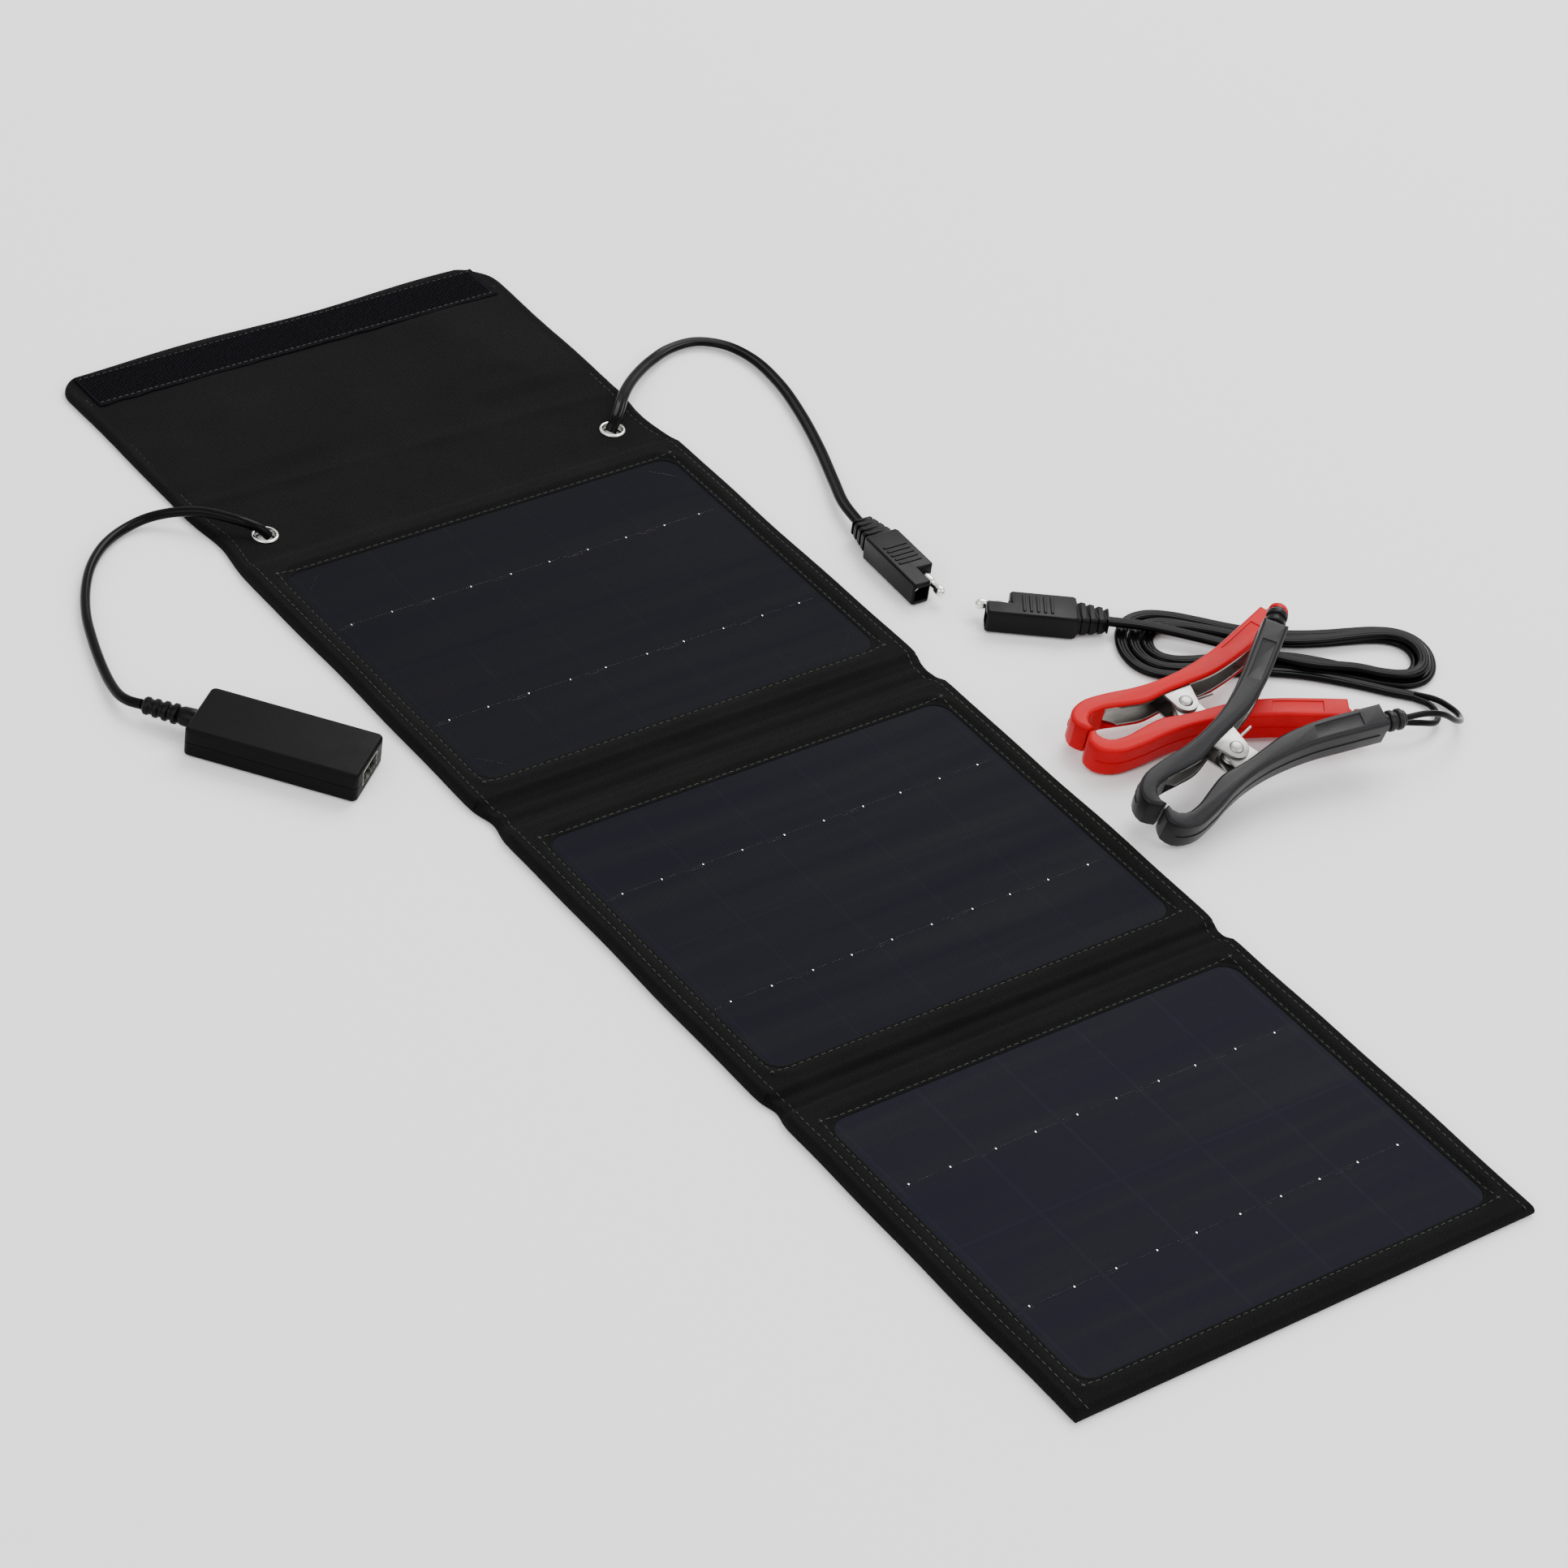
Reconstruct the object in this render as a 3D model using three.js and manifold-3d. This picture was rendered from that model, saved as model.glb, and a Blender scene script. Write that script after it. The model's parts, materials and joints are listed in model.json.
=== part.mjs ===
// Folding solar charger: three stitched panels on soft spines, a closing flap with a hook strip,
// a USB lead, a two-pin quick-connect lead, and a loose lead with two spring clips.
// Millimetres. +X runs along the strip from the flap to the last panel, +Y across it, +Z up.
// The origin is the middle of the unfolded strip, on the surface that it lies on.
import * as THREE from "three";
import Module from "manifold-3d";
import { mergeVertices } from "three/addons/utils/BufferGeometryUtils.js";

const wasm = await Module();
wasm.setup();

// ---- Driving dimensions -------------------------------------------------------------------------
const GAP = 0.3;                 // clearance between touching pieces
const WINDOW_ALONG = 134;        // clear window of each panel, along X
const WINDOW_ACROSS = 172;       // clear window of each panel, along Y
const HEM_ALONG = 10;            // fabric from window to panel edge, along X
const HEM_ACROSS = 11;           // fabric from window to side edge
const SPINE_12 = 17;             // wide spine: panel 3 lies inside this fold
const SPINE_23 = 9.4;            // narrow spine
const FLAP_SPINE = 40;           // soft strip that carries the eyelets
const FLAP_LENGTH = 98;          // closing flap
const WINDOW_RADIUS = 7;

const BACK_THICK = 0.8;          // back fabric
const BOARD_Z = [1.1, 2.1];      // stiffening board
const CELL_Z = [2.4, 2.7];       // silicon cells
const RIBBON_Z = [2.5, 2.8];     // ribbons soldered along the cells
const SHEET_Z = [3.0, 3.5];      // clear textured front sheet
const LIP_Z = 3.8;               // underside of the fabric lip round the window
const PANEL_THICK = 4.4;         // whole panel
const SOFT_Z = [1.9, 2.6];       // front fabric where no board lies under it
const LINER_Z = [1.1, 1.6];      // flap liner and flat link wires
const HOOK_Z = [2.9, 4.3];       // hook strip on the flap
const LEDGE = 6;                 // how far the laminate runs under the lip

const CELL_SIZE = [62.5, 31.25]; // one eighth of a 125 mm wafer
const CELL_GAP = [1.4, 2.0];
const CELL_ROWS = 2;
const CELLS_PER_ROW = 5;
const CELL_CHAMFER = [8, 4.6];   // cut-off wafer corner
const RIBBON_WIDTH = 1.6;

const STRIP_WIDTH = 20;          // hook and loop tape
const STRIP_LENGTH = 180;
const STRIP_EDGE = 3.7;          // from the flap's free edge

const EYELET_X = 15.7;           // from panel 1's edge, towards the flap
const EYELET_RADIUS = 3.9;       // clear hole
const EYELET_BARREL = 4.2;
const EYELET_HOLE = 4.5;         // in the fabric and the washer
const EYELET_FLANGE = 5.7;
const EYELET_Y = 77.5;
const LINK_WIDTH = 9;
const LINK_Y = 58;

const USB_BOX = [64, 27, 11.5];
const USB_BOX_AT = [-78.7, -138.7];
const USB_BOX_YAW = THREE.MathUtils.degToRad(37.4);
const USB_WALL = 1.5;
const USB_PORT = [13.2, 5.8];
const USB_RELIEF_LENGTH = 20;
const USB_CORD_RADIUS = 1.9;

const PLUG_LENGTH = 34;          // two-pin connector body
const PLUG_WIDTH = 14.8;
const PLUG_HEIGHT = 9.5;
const PLUG_STEP = 9;             // how far the socket side stands ahead of the pin side
const PLUG_RELIEF = 12;
const GRIP_RIB = 0.4;            // how far the grip ribs stand out
const PANEL_PLUG_AT = [-48.2, 122.4];
const PANEL_PLUG_YAW = THREE.MathUtils.degToRad(-3);
const LEAD_PLUG_AT = [-29.5, 133.9];
const LEAD_PLUG_YAW = THREE.MathUtils.degToRad(234.5);
const TWIN_RADIUS = 2.0;         // stand-in section of the flat twin cord
const WIRE_RADIUS = 1.2;

const HANK_AT = [37.8, 221.8];
const HANK_YAW = THREE.MathUtils.degToRad(57);
const HANK_HALF_LENGTH = 64.8;
const HANK_LOBE = 23.7;          // radius of the loops at each end
const HANK_WAIST = 15;           // half width in the middle
const HANK_HEIGHT = 5.6;

const CLIP_THICK = 13;           // boot thickness
const CLIP_SLOT = 5.2;           // half width of the slot in a boot
const JAW_OUTER = [4.9, 3.5];    // half widths of the upper and lower steel channels
const STEEL = 1.0;
const CLIP_RIBBED = [60, 71];    // ribbed end, from the rivet
const CLIP_SPREAD = THREE.MathUtils.degToRad(25.3);
const RED_CLIP_AT = [57.4, 156.9, 10.0];
const RED_CLIP_TURN = [8.5, -2.4, 84.9];
const BLACK_CLIP_AT = [92.2, 149.8, 16.4];
const BLACK_CLIP_TURN = [15, -8.4, 103.1];

// ---- Positions along the strip ------------------------------------------------------------------
const PANEL = WINDOW_ALONG + 2 * HEM_ALONG;
const LENGTH = FLAP_LENGTH + FLAP_SPINE + 3 * PANEL + SPINE_12 + SPINE_23;
const HALF_WIDTH = WINDOW_ACROSS / 2 + HEM_ACROSS;
const FLAP_END = -LENGTH / 2;
const P1 = FLAP_END + FLAP_LENGTH + FLAP_SPINE;
const P2 = P1 + PANEL + SPINE_12;
const P3 = P2 + PANEL + SPINE_23;
const FOLD_12 = P2 - SPINE_12 / 2;
const FOLD_23 = P3 - SPINE_23 / 2;
const FOLD_FLAP = P1 - 35;

// ---- Materials ----------------------------------------------------------------------------------
const paint = (color, roughness, metalness = 0) =>
  new THREE.MeshStandardMaterial({ color, roughness, metalness });
const FABRIC = paint(0x141614, 0.95);
const TAPE = paint(0x121214, 1.0);
const BOARD = paint(0x2b3326, 0.8);
const SILICON = paint(0x16161e, 0.45);
const SHEET = paint(0x1e1e24, 0.5);
const COPPER = paint(0x8a6a48, 0.45, 0.8);
const NICKEL = paint(0xc9c9c4, 0.3, 1);
const BLACK_PLASTIC = paint(0x18181a, 0.5);
const CORD_BLACK = paint(0x0d0d0e, 0.35);
const RED_PLASTIC = paint(0xc81a22, 0.4);
const STEEL_PLATE = paint(0xb9b9b6, 0.35, 1);
const CIRCUIT = paint(0x1f4a2a, 0.6);

// ---- Building tools -----------------------------------------------------------------------------
const group = new THREE.Group();

function solid(geometry) {
  const bare = geometry.clone();
  bare.deleteAttribute("normal");
  bare.deleteAttribute("uv");
  const merged = mergeVertices(bare, 1e-4);
  return new wasm.Manifold(new wasm.Mesh({
    numProp: 3,
    vertProperties: new Float32Array(merged.attributes.position.array),
    triVerts: new Uint32Array(merged.index.array),
  }));
}

function surface(body) {
  const mesh = body.getMesh();
  const geometry = new THREE.BufferGeometry();
  geometry.setAttribute("position", new THREE.BufferAttribute(mesh.vertProperties, 3));
  geometry.setIndex(new THREE.BufferAttribute(mesh.triVerts, 1));
  geometry.computeVertexNormals();
  return geometry;
}

const join = (...pieces) => pieces.map(solid).reduce((a, b) => a.add(b));
const cut = (body, ...tools) => tools.map(solid).reduce((a, b) => a.subtract(b), body);

function add(name, geometry, material, parent = group) {
  const mesh = new THREE.Mesh(geometry, material);
  mesh.name = name;
  parent.add(mesh);
  return mesh;
}

function block(x0, x1, y0, y1, z0, z1) {
  const box = new THREE.BoxGeometry(x1 - x0, y1 - y0, z1 - z0);
  return box.translate((x0 + x1) / 2, (y0 + y1) / 2, (z0 + z1) / 2);
}

function roundedRectangle(x0, x1, y0, y1, radii) {
  const [nearLow, farLow, farHigh, nearHigh] = Array.isArray(radii) ? radii : Array(4).fill(radii);
  const shape = new THREE.Shape();
  shape.moveTo(x0 + nearLow, y0);
  const corner = (x, y, r, start) => {
    if (r > 0) shape.absarc(x, y, r, start, start + Math.PI / 2, false);
    else shape.lineTo(x, y);
  };
  corner(x1 - farLow, y0 + farLow, farLow, -Math.PI / 2);
  corner(x1 - farHigh, y1 - farHigh, farHigh, 0);
  corner(x0 + nearHigh, y1 - nearHigh, nearHigh, Math.PI / 2);
  corner(x0 + nearLow, y0 + nearLow, nearLow, Math.PI);
  return shape;
}

function plate(shape, z0, z1, bevel = 0, curveSegments = 3) {
  const geometry = new THREE.ExtrudeGeometry(shape, {
    depth: z1 - z0 - 2 * bevel,
    bevelEnabled: bevel > 0,
    bevelThickness: bevel,
    bevelSize: bevel,
    bevelOffset: -bevel,
    bevelSegments: 1,
    curveSegments,
  });
  return geometry.translate(0, 0, z0 + bevel);
}

function turned(profile, segments = 16) {
  return new THREE.LatheGeometry(profile.map(([r, h]) => new THREE.Vector2(r, h)), segments);
}

// A lathe about +Z instead of +Y.
const upright = (geometry) => geometry.rotateX(Math.PI / 2);
// A lathe whose axis runs along +X.
const lengthwise = (geometry) => geometry.rotateZ(-Math.PI / 2);

function ring(inner, outer, z0, z1, segments = 16) {
  return upright(turned([[inner, z0], [outer, z0], [outer, z1], [inner, z1], [inner, z0]], segments));
}

function tube(points, radius, stepsPerMillimetre = 0.11) {
  const path = new THREE.CatmullRomCurve3(points.map((p) => new THREE.Vector3(...p)), false, "centripetal");
  const section = new THREE.Shape();
  section.absarc(0, 0, radius, 0, 2 * Math.PI, false);
  const steps = Math.min(80, Math.round(path.getLength() * stepsPerMillimetre));
  return new THREE.ExtrudeGeometry(section, { steps, curveSegments: 4, bevelEnabled: false, extrudePath: path });
}

// ---- Panels -------------------------------------------------------------------------------------
function backCover(x0, x1, radii = 0) {
  return plate(roundedRectangle(x0, x1, -HALF_WIDTH, HALF_WIDTH, radii), 0, BACK_THICK);
}

// Front fabric of a panel and of the soft strips beside it; slots let the flat wires through the hem.
function frontCover(panel, x0, x1, endRadii, wireSlots) {
  const body = roundedRectangle(panel, panel + PANEL, -HALF_WIDTH, HALF_WIDTH, endRadii);
  const pieces = [plate(body, BACK_THICK + GAP, PANEL_THICK, 0.7)];
  if (x0 < panel) pieces.push(block(x0, panel + 2, -HALF_WIDTH + 0.8, HALF_WIDTH - 0.8, ...SOFT_Z));
  if (x1 > panel + PANEL) {
    pieces.push(block(panel + PANEL - 2, x1, -HALF_WIDTH + 0.8, HALF_WIDTH - 0.8, ...SOFT_Z));
  }
  const w0 = panel + HEM_ALONG;
  const w1 = w0 + WINDOW_ALONG;
  const halfWindow = WINDOW_ACROSS / 2;
  const pocket = block(w0 - LEDGE, w1 + LEDGE, -halfWindow - LEDGE, halfWindow + LEDGE, 0, LIP_Z);
  const windowShape = roundedRectangle(w0, w1, -halfWindow, halfWindow, WINDOW_RADIUS);
  const tools = [pocket, plate(windowShape, LIP_Z - 1, PANEL_THICK + 1)];
  for (const [sx, sy] of wireSlots) {
    const halfSlot = LINK_WIDTH / 2 + GAP;
    tools.push(block(sx - HEM_ALONG, sx + HEM_ALONG, sy - halfSlot, sy + halfSlot, 0, LINER_Z[1] + GAP));
  }
  return cut(join(...pieces), ...tools);
}

function laminateOutline(panel) {
  const inset = LEDGE - 0.5;
  const w0 = panel + HEM_ALONG;
  const halfWindow = WINDOW_ACROSS / 2;
  return roundedRectangle(w0 - inset, w0 + WINDOW_ALONG + inset, -halfWindow - inset, halfWindow + inset, 0);
}

// One cell; where the round wafer ended, its corner on the sideX, sideY side is cut off.
function cellShape(x, y, sideX, sideY, cutOff) {
  const along = sideX * CELL_SIZE[0] / 2;
  const across = sideY * CELL_SIZE[1] / 2;
  const shape = new THREE.Shape();
  shape.moveTo(x - along, y - across);
  shape.lineTo(x + along, y - across);
  if (cutOff) {
    shape.lineTo(x + along, y + across - sideY * CELL_CHAMFER[1]);
    shape.lineTo(x + along - sideX * CELL_CHAMFER[0], y + across);
  } else {
    shape.lineTo(x + along, y + across);
  }
  shape.lineTo(x - along, y + across);
  shape.closePath();
  return shape;
}

// Two rows of five cells held together by their soldered ribbons.
function cellArray(panel, cutCorners) {
  const middle = panel + PANEL / 2;
  const pieces = [];
  const rowPitch = CELL_SIZE[0] + CELL_GAP[0];
  const cellPitch = CELL_SIZE[1] + CELL_GAP[1];
  const halfRow = (CELLS_PER_ROW * cellPitch - CELL_GAP[1]) / 2;
  for (let row = 0; row < CELL_ROWS; row += 1) {
    const x = middle + (row - 0.5) * rowPitch;
    for (let i = 0; i < CELLS_PER_ROW; i += 1) {
      const y = (i - (CELLS_PER_ROW - 1) / 2) * cellPitch;
      const atEnd = i === 0 || i === CELLS_PER_ROW - 1;
      const shape = cellShape(x, y, row === 0 ? -1 : 1, i === 0 ? -1 : 1, cutCorners && atEnd);
      pieces.push(plate(shape, ...CELL_Z));
    }
    pieces.push(block(x - RIBBON_WIDTH / 2, x + RIBBON_WIDTH / 2, -halfRow - 2, halfRow + 2, ...RIBBON_Z));
  }
  const busY = halfRow + 1.8 - RIBBON_WIDTH;
  pieces.push(block(middle - rowPitch / 2, middle + rowPitch / 2, busY, busY + RIBBON_WIDTH, ...RIBBON_Z));
  return surface(join(...pieces));
}

function addPanelCore(number, panel) {
  add(`panel_${number}_board`, plate(laminateOutline(panel), ...BOARD_Z), BOARD);
  add(`panel_${number}_cells`, cellArray(panel, number === 1), SILICON);
  add(`panel_${number}_front_sheet`, plate(laminateOutline(panel), ...SHEET_Z), SHEET);
}

function addPanels() {
  const half = GAP / 2;
  const nearCorner = [0, 3, 3, 0];
  const edge1 = P1 + PANEL;
  const edge2 = P2 + PANEL;
  const eyeletHole = (y) => upright(turned([[0, 0], [EYELET_HOLE, 0], [EYELET_HOLE, 4], [0, 4]]))
    .translate(P1 - EYELET_X, y, 0);

  add("panel_1_back_cover", backCover(FOLD_FLAP + half, FOLD_12 - half), FABRIC);
  const front1 = frontCover(P1, FOLD_FLAP + half, FOLD_12 - half, 1.5, [
    [P1, -EYELET_Y], [P1, EYELET_Y], [edge1, LINK_Y]]);
  add("panel_1_front_cover", surface(cut(front1, eyeletHole(-EYELET_Y), eyeletHole(EYELET_Y))), FABRIC);
  addPanelCore(1, P1);

  const loopX = 2 * FOLD_12 - (2 * FOLD_FLAP - (FLAP_END + STRIP_EDGE + STRIP_WIDTH / 2));
  const pocket = block(loopX - STRIP_WIDTH / 2 - GAP, loopX + STRIP_WIDTH / 2 + GAP,
    -STRIP_LENGTH / 2 - GAP, STRIP_LENGTH / 2 + GAP, -1, 2);
  add("panel_2_back_cover", surface(cut(solid(backCover(FOLD_12 + half, FOLD_23 - half)), pocket)), FABRIC);
  add("loop_strip", block(loopX - STRIP_WIDTH / 2, loopX + STRIP_WIDTH / 2,
    -STRIP_LENGTH / 2, STRIP_LENGTH / 2, 0, BACK_THICK), TAPE);
  add("panel_2_front_cover", surface(frontCover(P2, FOLD_12 + half, FOLD_23 - half, 1.5, [
    [P2, LINK_Y], [edge2, LINK_Y]])), FABRIC);
  addPanelCore(2, P2);

  add("panel_3_back_cover", backCover(FOLD_23 + half, P3 + PANEL, nearCorner), FABRIC);
  add("panel_3_front_cover", surface(frontCover(P3, FOLD_23 + half, P3 + PANEL, [1.5, 3, 3, 1.5], [
    [P3, LINK_Y]])), FABRIC);
  addPanelCore(3, P3);
}

function addFlap() {
  const x1 = FOLD_FLAP - GAP / 2;
  const corners = [12, 0, 0, 12];
  const rim = 4;
  add("flap_back_cover", backCover(FLAP_END, x1, corners), FABRIC);
  const whole = roundedRectangle(FLAP_END, x1, -HALF_WIDTH, HALF_WIDTH, corners);
  const pocket = roundedRectangle(FLAP_END + rim, x1 - rim, -HALF_WIDTH + rim, HALF_WIDTH - rim, 9);
  const front = cut(solid(plate(whole, BACK_THICK + GAP, SOFT_Z[1])), plate(pocket, 0, SOFT_Z[0]));
  add("flap_front_cover", surface(front), FABRIC);
  const liner = roundedRectangle(FLAP_END + rim + GAP, x1 - rim - GAP,
    -HALF_WIDTH + rim + GAP, HALF_WIDTH - rim - GAP, 9);
  add("flap_liner", plate(liner, ...LINER_Z), BOARD);
  const strip = roundedRectangle(FLAP_END + STRIP_EDGE, FLAP_END + STRIP_EDGE + STRIP_WIDTH,
    -STRIP_LENGTH / 2, STRIP_LENGTH / 2, 2);
  add("hook_strip", plate(strip, ...HOOK_Z), TAPE);
}

// Flat wires between the boards, through the spines; each is split at its fold line.
function addLinks() {
  const board = HEM_ALONG - LEDGE + 0.5 - GAP;
  const link = (name, x0, x1, y) =>
    add(name, block(x0, x1, y - LINK_WIDTH / 2, y + LINK_WIDTH / 2, ...LINER_Z), COPPER);
  link("link_1_to_2_first", P1 + PANEL - board, FOLD_12 - GAP / 2, LINK_Y);
  link("link_1_to_2_second", FOLD_12 + GAP / 2, P2 + board, LINK_Y);
  link("link_2_to_3_first", P2 + PANEL - board, FOLD_23 - GAP / 2, LINK_Y);
  link("link_2_to_3_second", FOLD_23 + GAP / 2, P3 + board, LINK_Y);
  const washerEdge = P1 - EYELET_X + EYELET_FLANGE + GAP;
  link("usb_feed_wire", washerEdge, P1 + board, -EYELET_Y);
  link("plug_feed_wire", washerEdge, P1 + board, EYELET_Y);
}

function addEyelets() {
  for (const [name, y] of [["usb", -EYELET_Y], ["plug", EYELET_Y]]) {
    const rolled = [[EYELET_RADIUS, 1.1], [EYELET_BARREL, 1.1], [EYELET_BARREL, 2.9], [5.4, 2.9],
      [5.4, 3.2], [4.8, 3.7], [4.2, 3.7], [EYELET_RADIUS, 3.3], [EYELET_RADIUS, 1.1]];
    add(`${name}_eyelet`, upright(turned(rolled)).translate(P1 - EYELET_X, y, 0), NICKEL);
    add(`${name}_eyelet_washer`, ring(EYELET_HOLE, EYELET_FLANGE, ...LINER_Z).translate(P1 - EYELET_X, y, 0), NICKEL);
  }
}

// ---- USB lead -----------------------------------------------------------------------------------
const USB_CORD = [
  [-190.4, -76.3, 2.5], [-192.0, -79.1, 5.6], [-195.4, -83.4, 7.5], [-201.4, -88.3, 7.9],
  [-208.5, -93.8, 7.3], [-214.8, -101.5, 5.6], [-218.6, -110.5, 3.6], [-218.2, -120.5, 2.2],
  [-213.2, -131.8, 2.1], [-204.4, -142.4, 2.1], [-192.6, -151.6, 2.1], [-178.6, -159.4, 2.1],
  [-163.6, -165.2, 2.1], [-149.6, -169.6, 2.2], [-138.6, -172.4, 2.8], [-130.0, -173.7, 4.0],
  [-124.3, -173.0, 5.2], [-120.55, -170.75, 5.75],
];

function addUsbLead() {
  add("usb_cord", tube(USB_CORD, USB_CORD_RADIUS), CORD_BLACK);
  const box = new THREE.Group();
  box.position.set(...USB_BOX_AT, 0);
  box.rotation.z = USB_BOX_YAW;
  group.add(box);
  const [length, width, height] = USB_BOX;
  const half = [length / 2, width / 2];
  const seam = height / 2;
  const outline = roundedRectangle(-half[0], half[0], -half[1], half[1], [1.5, 1.5, 3, 1.5]);
  const inner = roundedRectangle(-half[0] + USB_WALL, half[0] - USB_WALL,
    -half[1] + USB_WALL, half[1] - USB_WALL, 0);
  const portHalf = [USB_PORT[0] / 2 + GAP + 0.4, USB_PORT[1] / 2 + GAP + 0.4];
  const port = block(half[0] - 4, half[0] + 1, -portHalf[0], portHalf[0], seam - portHalf[1], seam + portHalf[1]);
  const inlet = lengthwise(turned([[0, 0], [2.6, 0], [2.6, 6], [0, 6]], 16)).translate(-half[0] - 2, 0, seam);
  const top = cut(solid(plate(outline, seam + GAP / 2, height, 0.8)),
    plate(inner, 0, height - USB_WALL), port, inlet);
  const bottom = cut(solid(plate(outline, 0, seam - GAP / 2, 0.8)),
    plate(inner, USB_WALL, height), port, inlet);
  add("usb_box_top", surface(top), BLACK_PLASTIC, box);
  add("usb_box_bottom", surface(bottom), BLACK_PLASTIC, box);

  const wall = 0.4;
  const socketBack = half[0] - 14.5;
  const socketFront = half[0] - 0.4;
  const shell = cut(solid(block(socketBack, socketFront, -USB_PORT[0] / 2 - wall, USB_PORT[0] / 2 + wall,
    seam - USB_PORT[1] / 2 - wall, seam + USB_PORT[1] / 2 + wall)),
    block(socketBack + wall, socketFront + 1, -USB_PORT[0] / 2, USB_PORT[0] / 2,
      seam - USB_PORT[1] / 2, seam + USB_PORT[1] / 2));
  add("usb_socket_shell", surface(shell), NICKEL, box);
  add("usb_socket_tongue", block(socketBack + wall + GAP, socketFront - 1.5, -5.6, 5.6, seam + 0.6, seam + 2.3),
    BLACK_PLASTIC, box);
  const boardZ = USB_WALL + GAP;
  add("usb_circuit_board", block(-half[0] + 3, socketBack - GAP, -half[1] + 2.5, half[1] - 2.5,
    boardZ, boardZ + 1.6), CIRCUIT, box);

  const profile = [[0, 0], [2.2, 0]];
  const ribs = 4;
  const pitch = (USB_RELIEF_LENGTH - 6) / ribs;
  for (let i = 0; i < ribs; i += 1) {
    const start = i * pitch;
    const radius = 3.3 + 0.16 * i;
    profile.push([2.8, start + 0.2], [radius, start + 0.9], [radius, start + 2.2], [2.8, start + pitch - 0.1]);
  }
  profile.push([3.5, USB_RELIEF_LENGTH - 5.4], [3.7, USB_RELIEF_LENGTH], [2.3, USB_RELIEF_LENGTH + 0.05],
    [2.3, USB_RELIEF_LENGTH + 2.6], [0, USB_RELIEF_LENGTH + 2.6]);
  add("usb_strain_relief", lengthwise(turned(profile, 10))
    .translate(-half[0] - USB_RELIEF_LENGTH - GAP, 0, seam), BLACK_PLASTIC, box);
}

// ---- Two-pin quick connector --------------------------------------------------------------------
const RECESS_HALF = 3.0;
const SOCKET_SIDE = -3.7;
const PIN_SIDE = 3.7;

function plugBody() {
  const half = PLUG_WIDTH / 2;
  const outline = new THREE.Shape();
  outline.moveTo(-PLUG_LENGTH, -half);
  outline.lineTo(0, -half);
  outline.lineTo(0, 0.3);
  outline.lineTo(-PLUG_STEP, 0.3);
  outline.lineTo(-PLUG_STEP, half);
  outline.lineTo(-PLUG_LENGTH, half);
  outline.closePath();
  const pieces = [plate(outline, 0, PLUG_HEIGHT, 0.7)];
  const ribs = 4;
  for (let i = 0; i < ribs; i += 1) {
    const x1 = -PLUG_LENGTH - i * PLUG_RELIEF / ribs;
    const x0 = x1 - PLUG_RELIEF / ribs * 0.62;
    const halfRib = [6.3 - 0.5 * i, 3.9 - 0.22 * i];
    pieces.push(block(x0, x1 + 0.02, -halfRib[0], halfRib[0],
      PLUG_HEIGHT / 2 - halfRib[1], PLUG_HEIGHT / 2 + halfRib[1]));
  }
  pieces.push(block(-PLUG_LENGTH - PLUG_RELIEF, -PLUG_LENGTH + 1, -3.9, 3.9,
    PLUG_HEIGHT / 2 - 2.7, PLUG_HEIGHT / 2 + 2.7));
  const gripRibs = 5;
  for (let i = 0; i < gripRibs; i += 1) {
    const x = -PLUG_STEP - 5 - i * 2.6;
    pieces.push(block(x - 0.7, x + 0.7, -5.2, 5.2, -GRIP_RIB, PLUG_HEIGHT + GRIP_RIB));
  }
  const middle = PLUG_HEIGHT / 2;
  const recess = block(-13, 1, SOCKET_SIDE - RECESS_HALF, SOCKET_SIDE + RECESS_HALF,
    middle - RECESS_HALF, middle + RECESS_HALF);
  const pinHole = lengthwise(turned([[0, 0], [1.95, 0], [1.95, 9], [0, 9]], 12))
    .translate(-PLUG_STEP - 8, PIN_SIDE, middle);
  return surface(cut(join(...pieces), recess, pinHole));
}

function plugPin() {
  const start = -PLUG_STEP - 7.5;
  const profile = [[0, 0], [1.6, 0], [1.6, 7.6], [2.0, 7.9], [2.0, 12.2], [1.3, 13.0], [1.3, 15.4],
    [2.0, 16.2], [2.0, 18.6], [1.4, 19.6], [0, 20]];
  return lengthwise(turned(profile, 12)).translate(start, PIN_SIDE, PLUG_HEIGHT / 2);
}

function plugSleeve() {
  const profile = [[1.9, 0], [2.4, 0], [2.4, 8], [1.9, 8], [1.9, 0]];
  return lengthwise(turned(profile, 12)).translate(-12.6, SOCKET_SIDE, PLUG_HEIGHT / 2);
}

function addPlug(prefix, at, yaw, flipped) {
  const plug = new THREE.Group();
  plug.position.set(at[0], at[1], GRIP_RIB + (flipped ? PLUG_HEIGHT : 0));
  plug.rotation.set(flipped ? Math.PI : 0, 0, yaw, "ZYX");
  group.add(plug);
  add(`${prefix}_plug_body`, plugBody(), BLACK_PLASTIC, plug);
  add(`${prefix}_plug_pin`, plugPin(), NICKEL, plug);
  add(`${prefix}_plug_sleeve`, plugSleeve(), NICKEL, plug);
}

const PLUG_CORD = [
  [-190.2, 76.2, 2.7], [-191.5, 78.5, 5.9], [-195.0, 82.6, 7.4], [-201.8, 89.2, 7.6],
  [-209.2, 97.4, 6.6], [-216.6, 107.2, 4.9], [-223.6, 118.8, 3.2], [-228.4, 131.2, 2.3],
  [-228.0, 143.0, 2.3], [-221.0, 152.0, 2.3], [-208.4, 156.6, 2.3], [-189.6, 156.0, 2.3],
  [-168.8, 151.2, 2.3], [-146.0, 143.6, 2.4], [-124.6, 134.6, 3.2], [-109.6, 128.2, 4.3],
  [-94.6, 124.9, 5.1],
];

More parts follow.
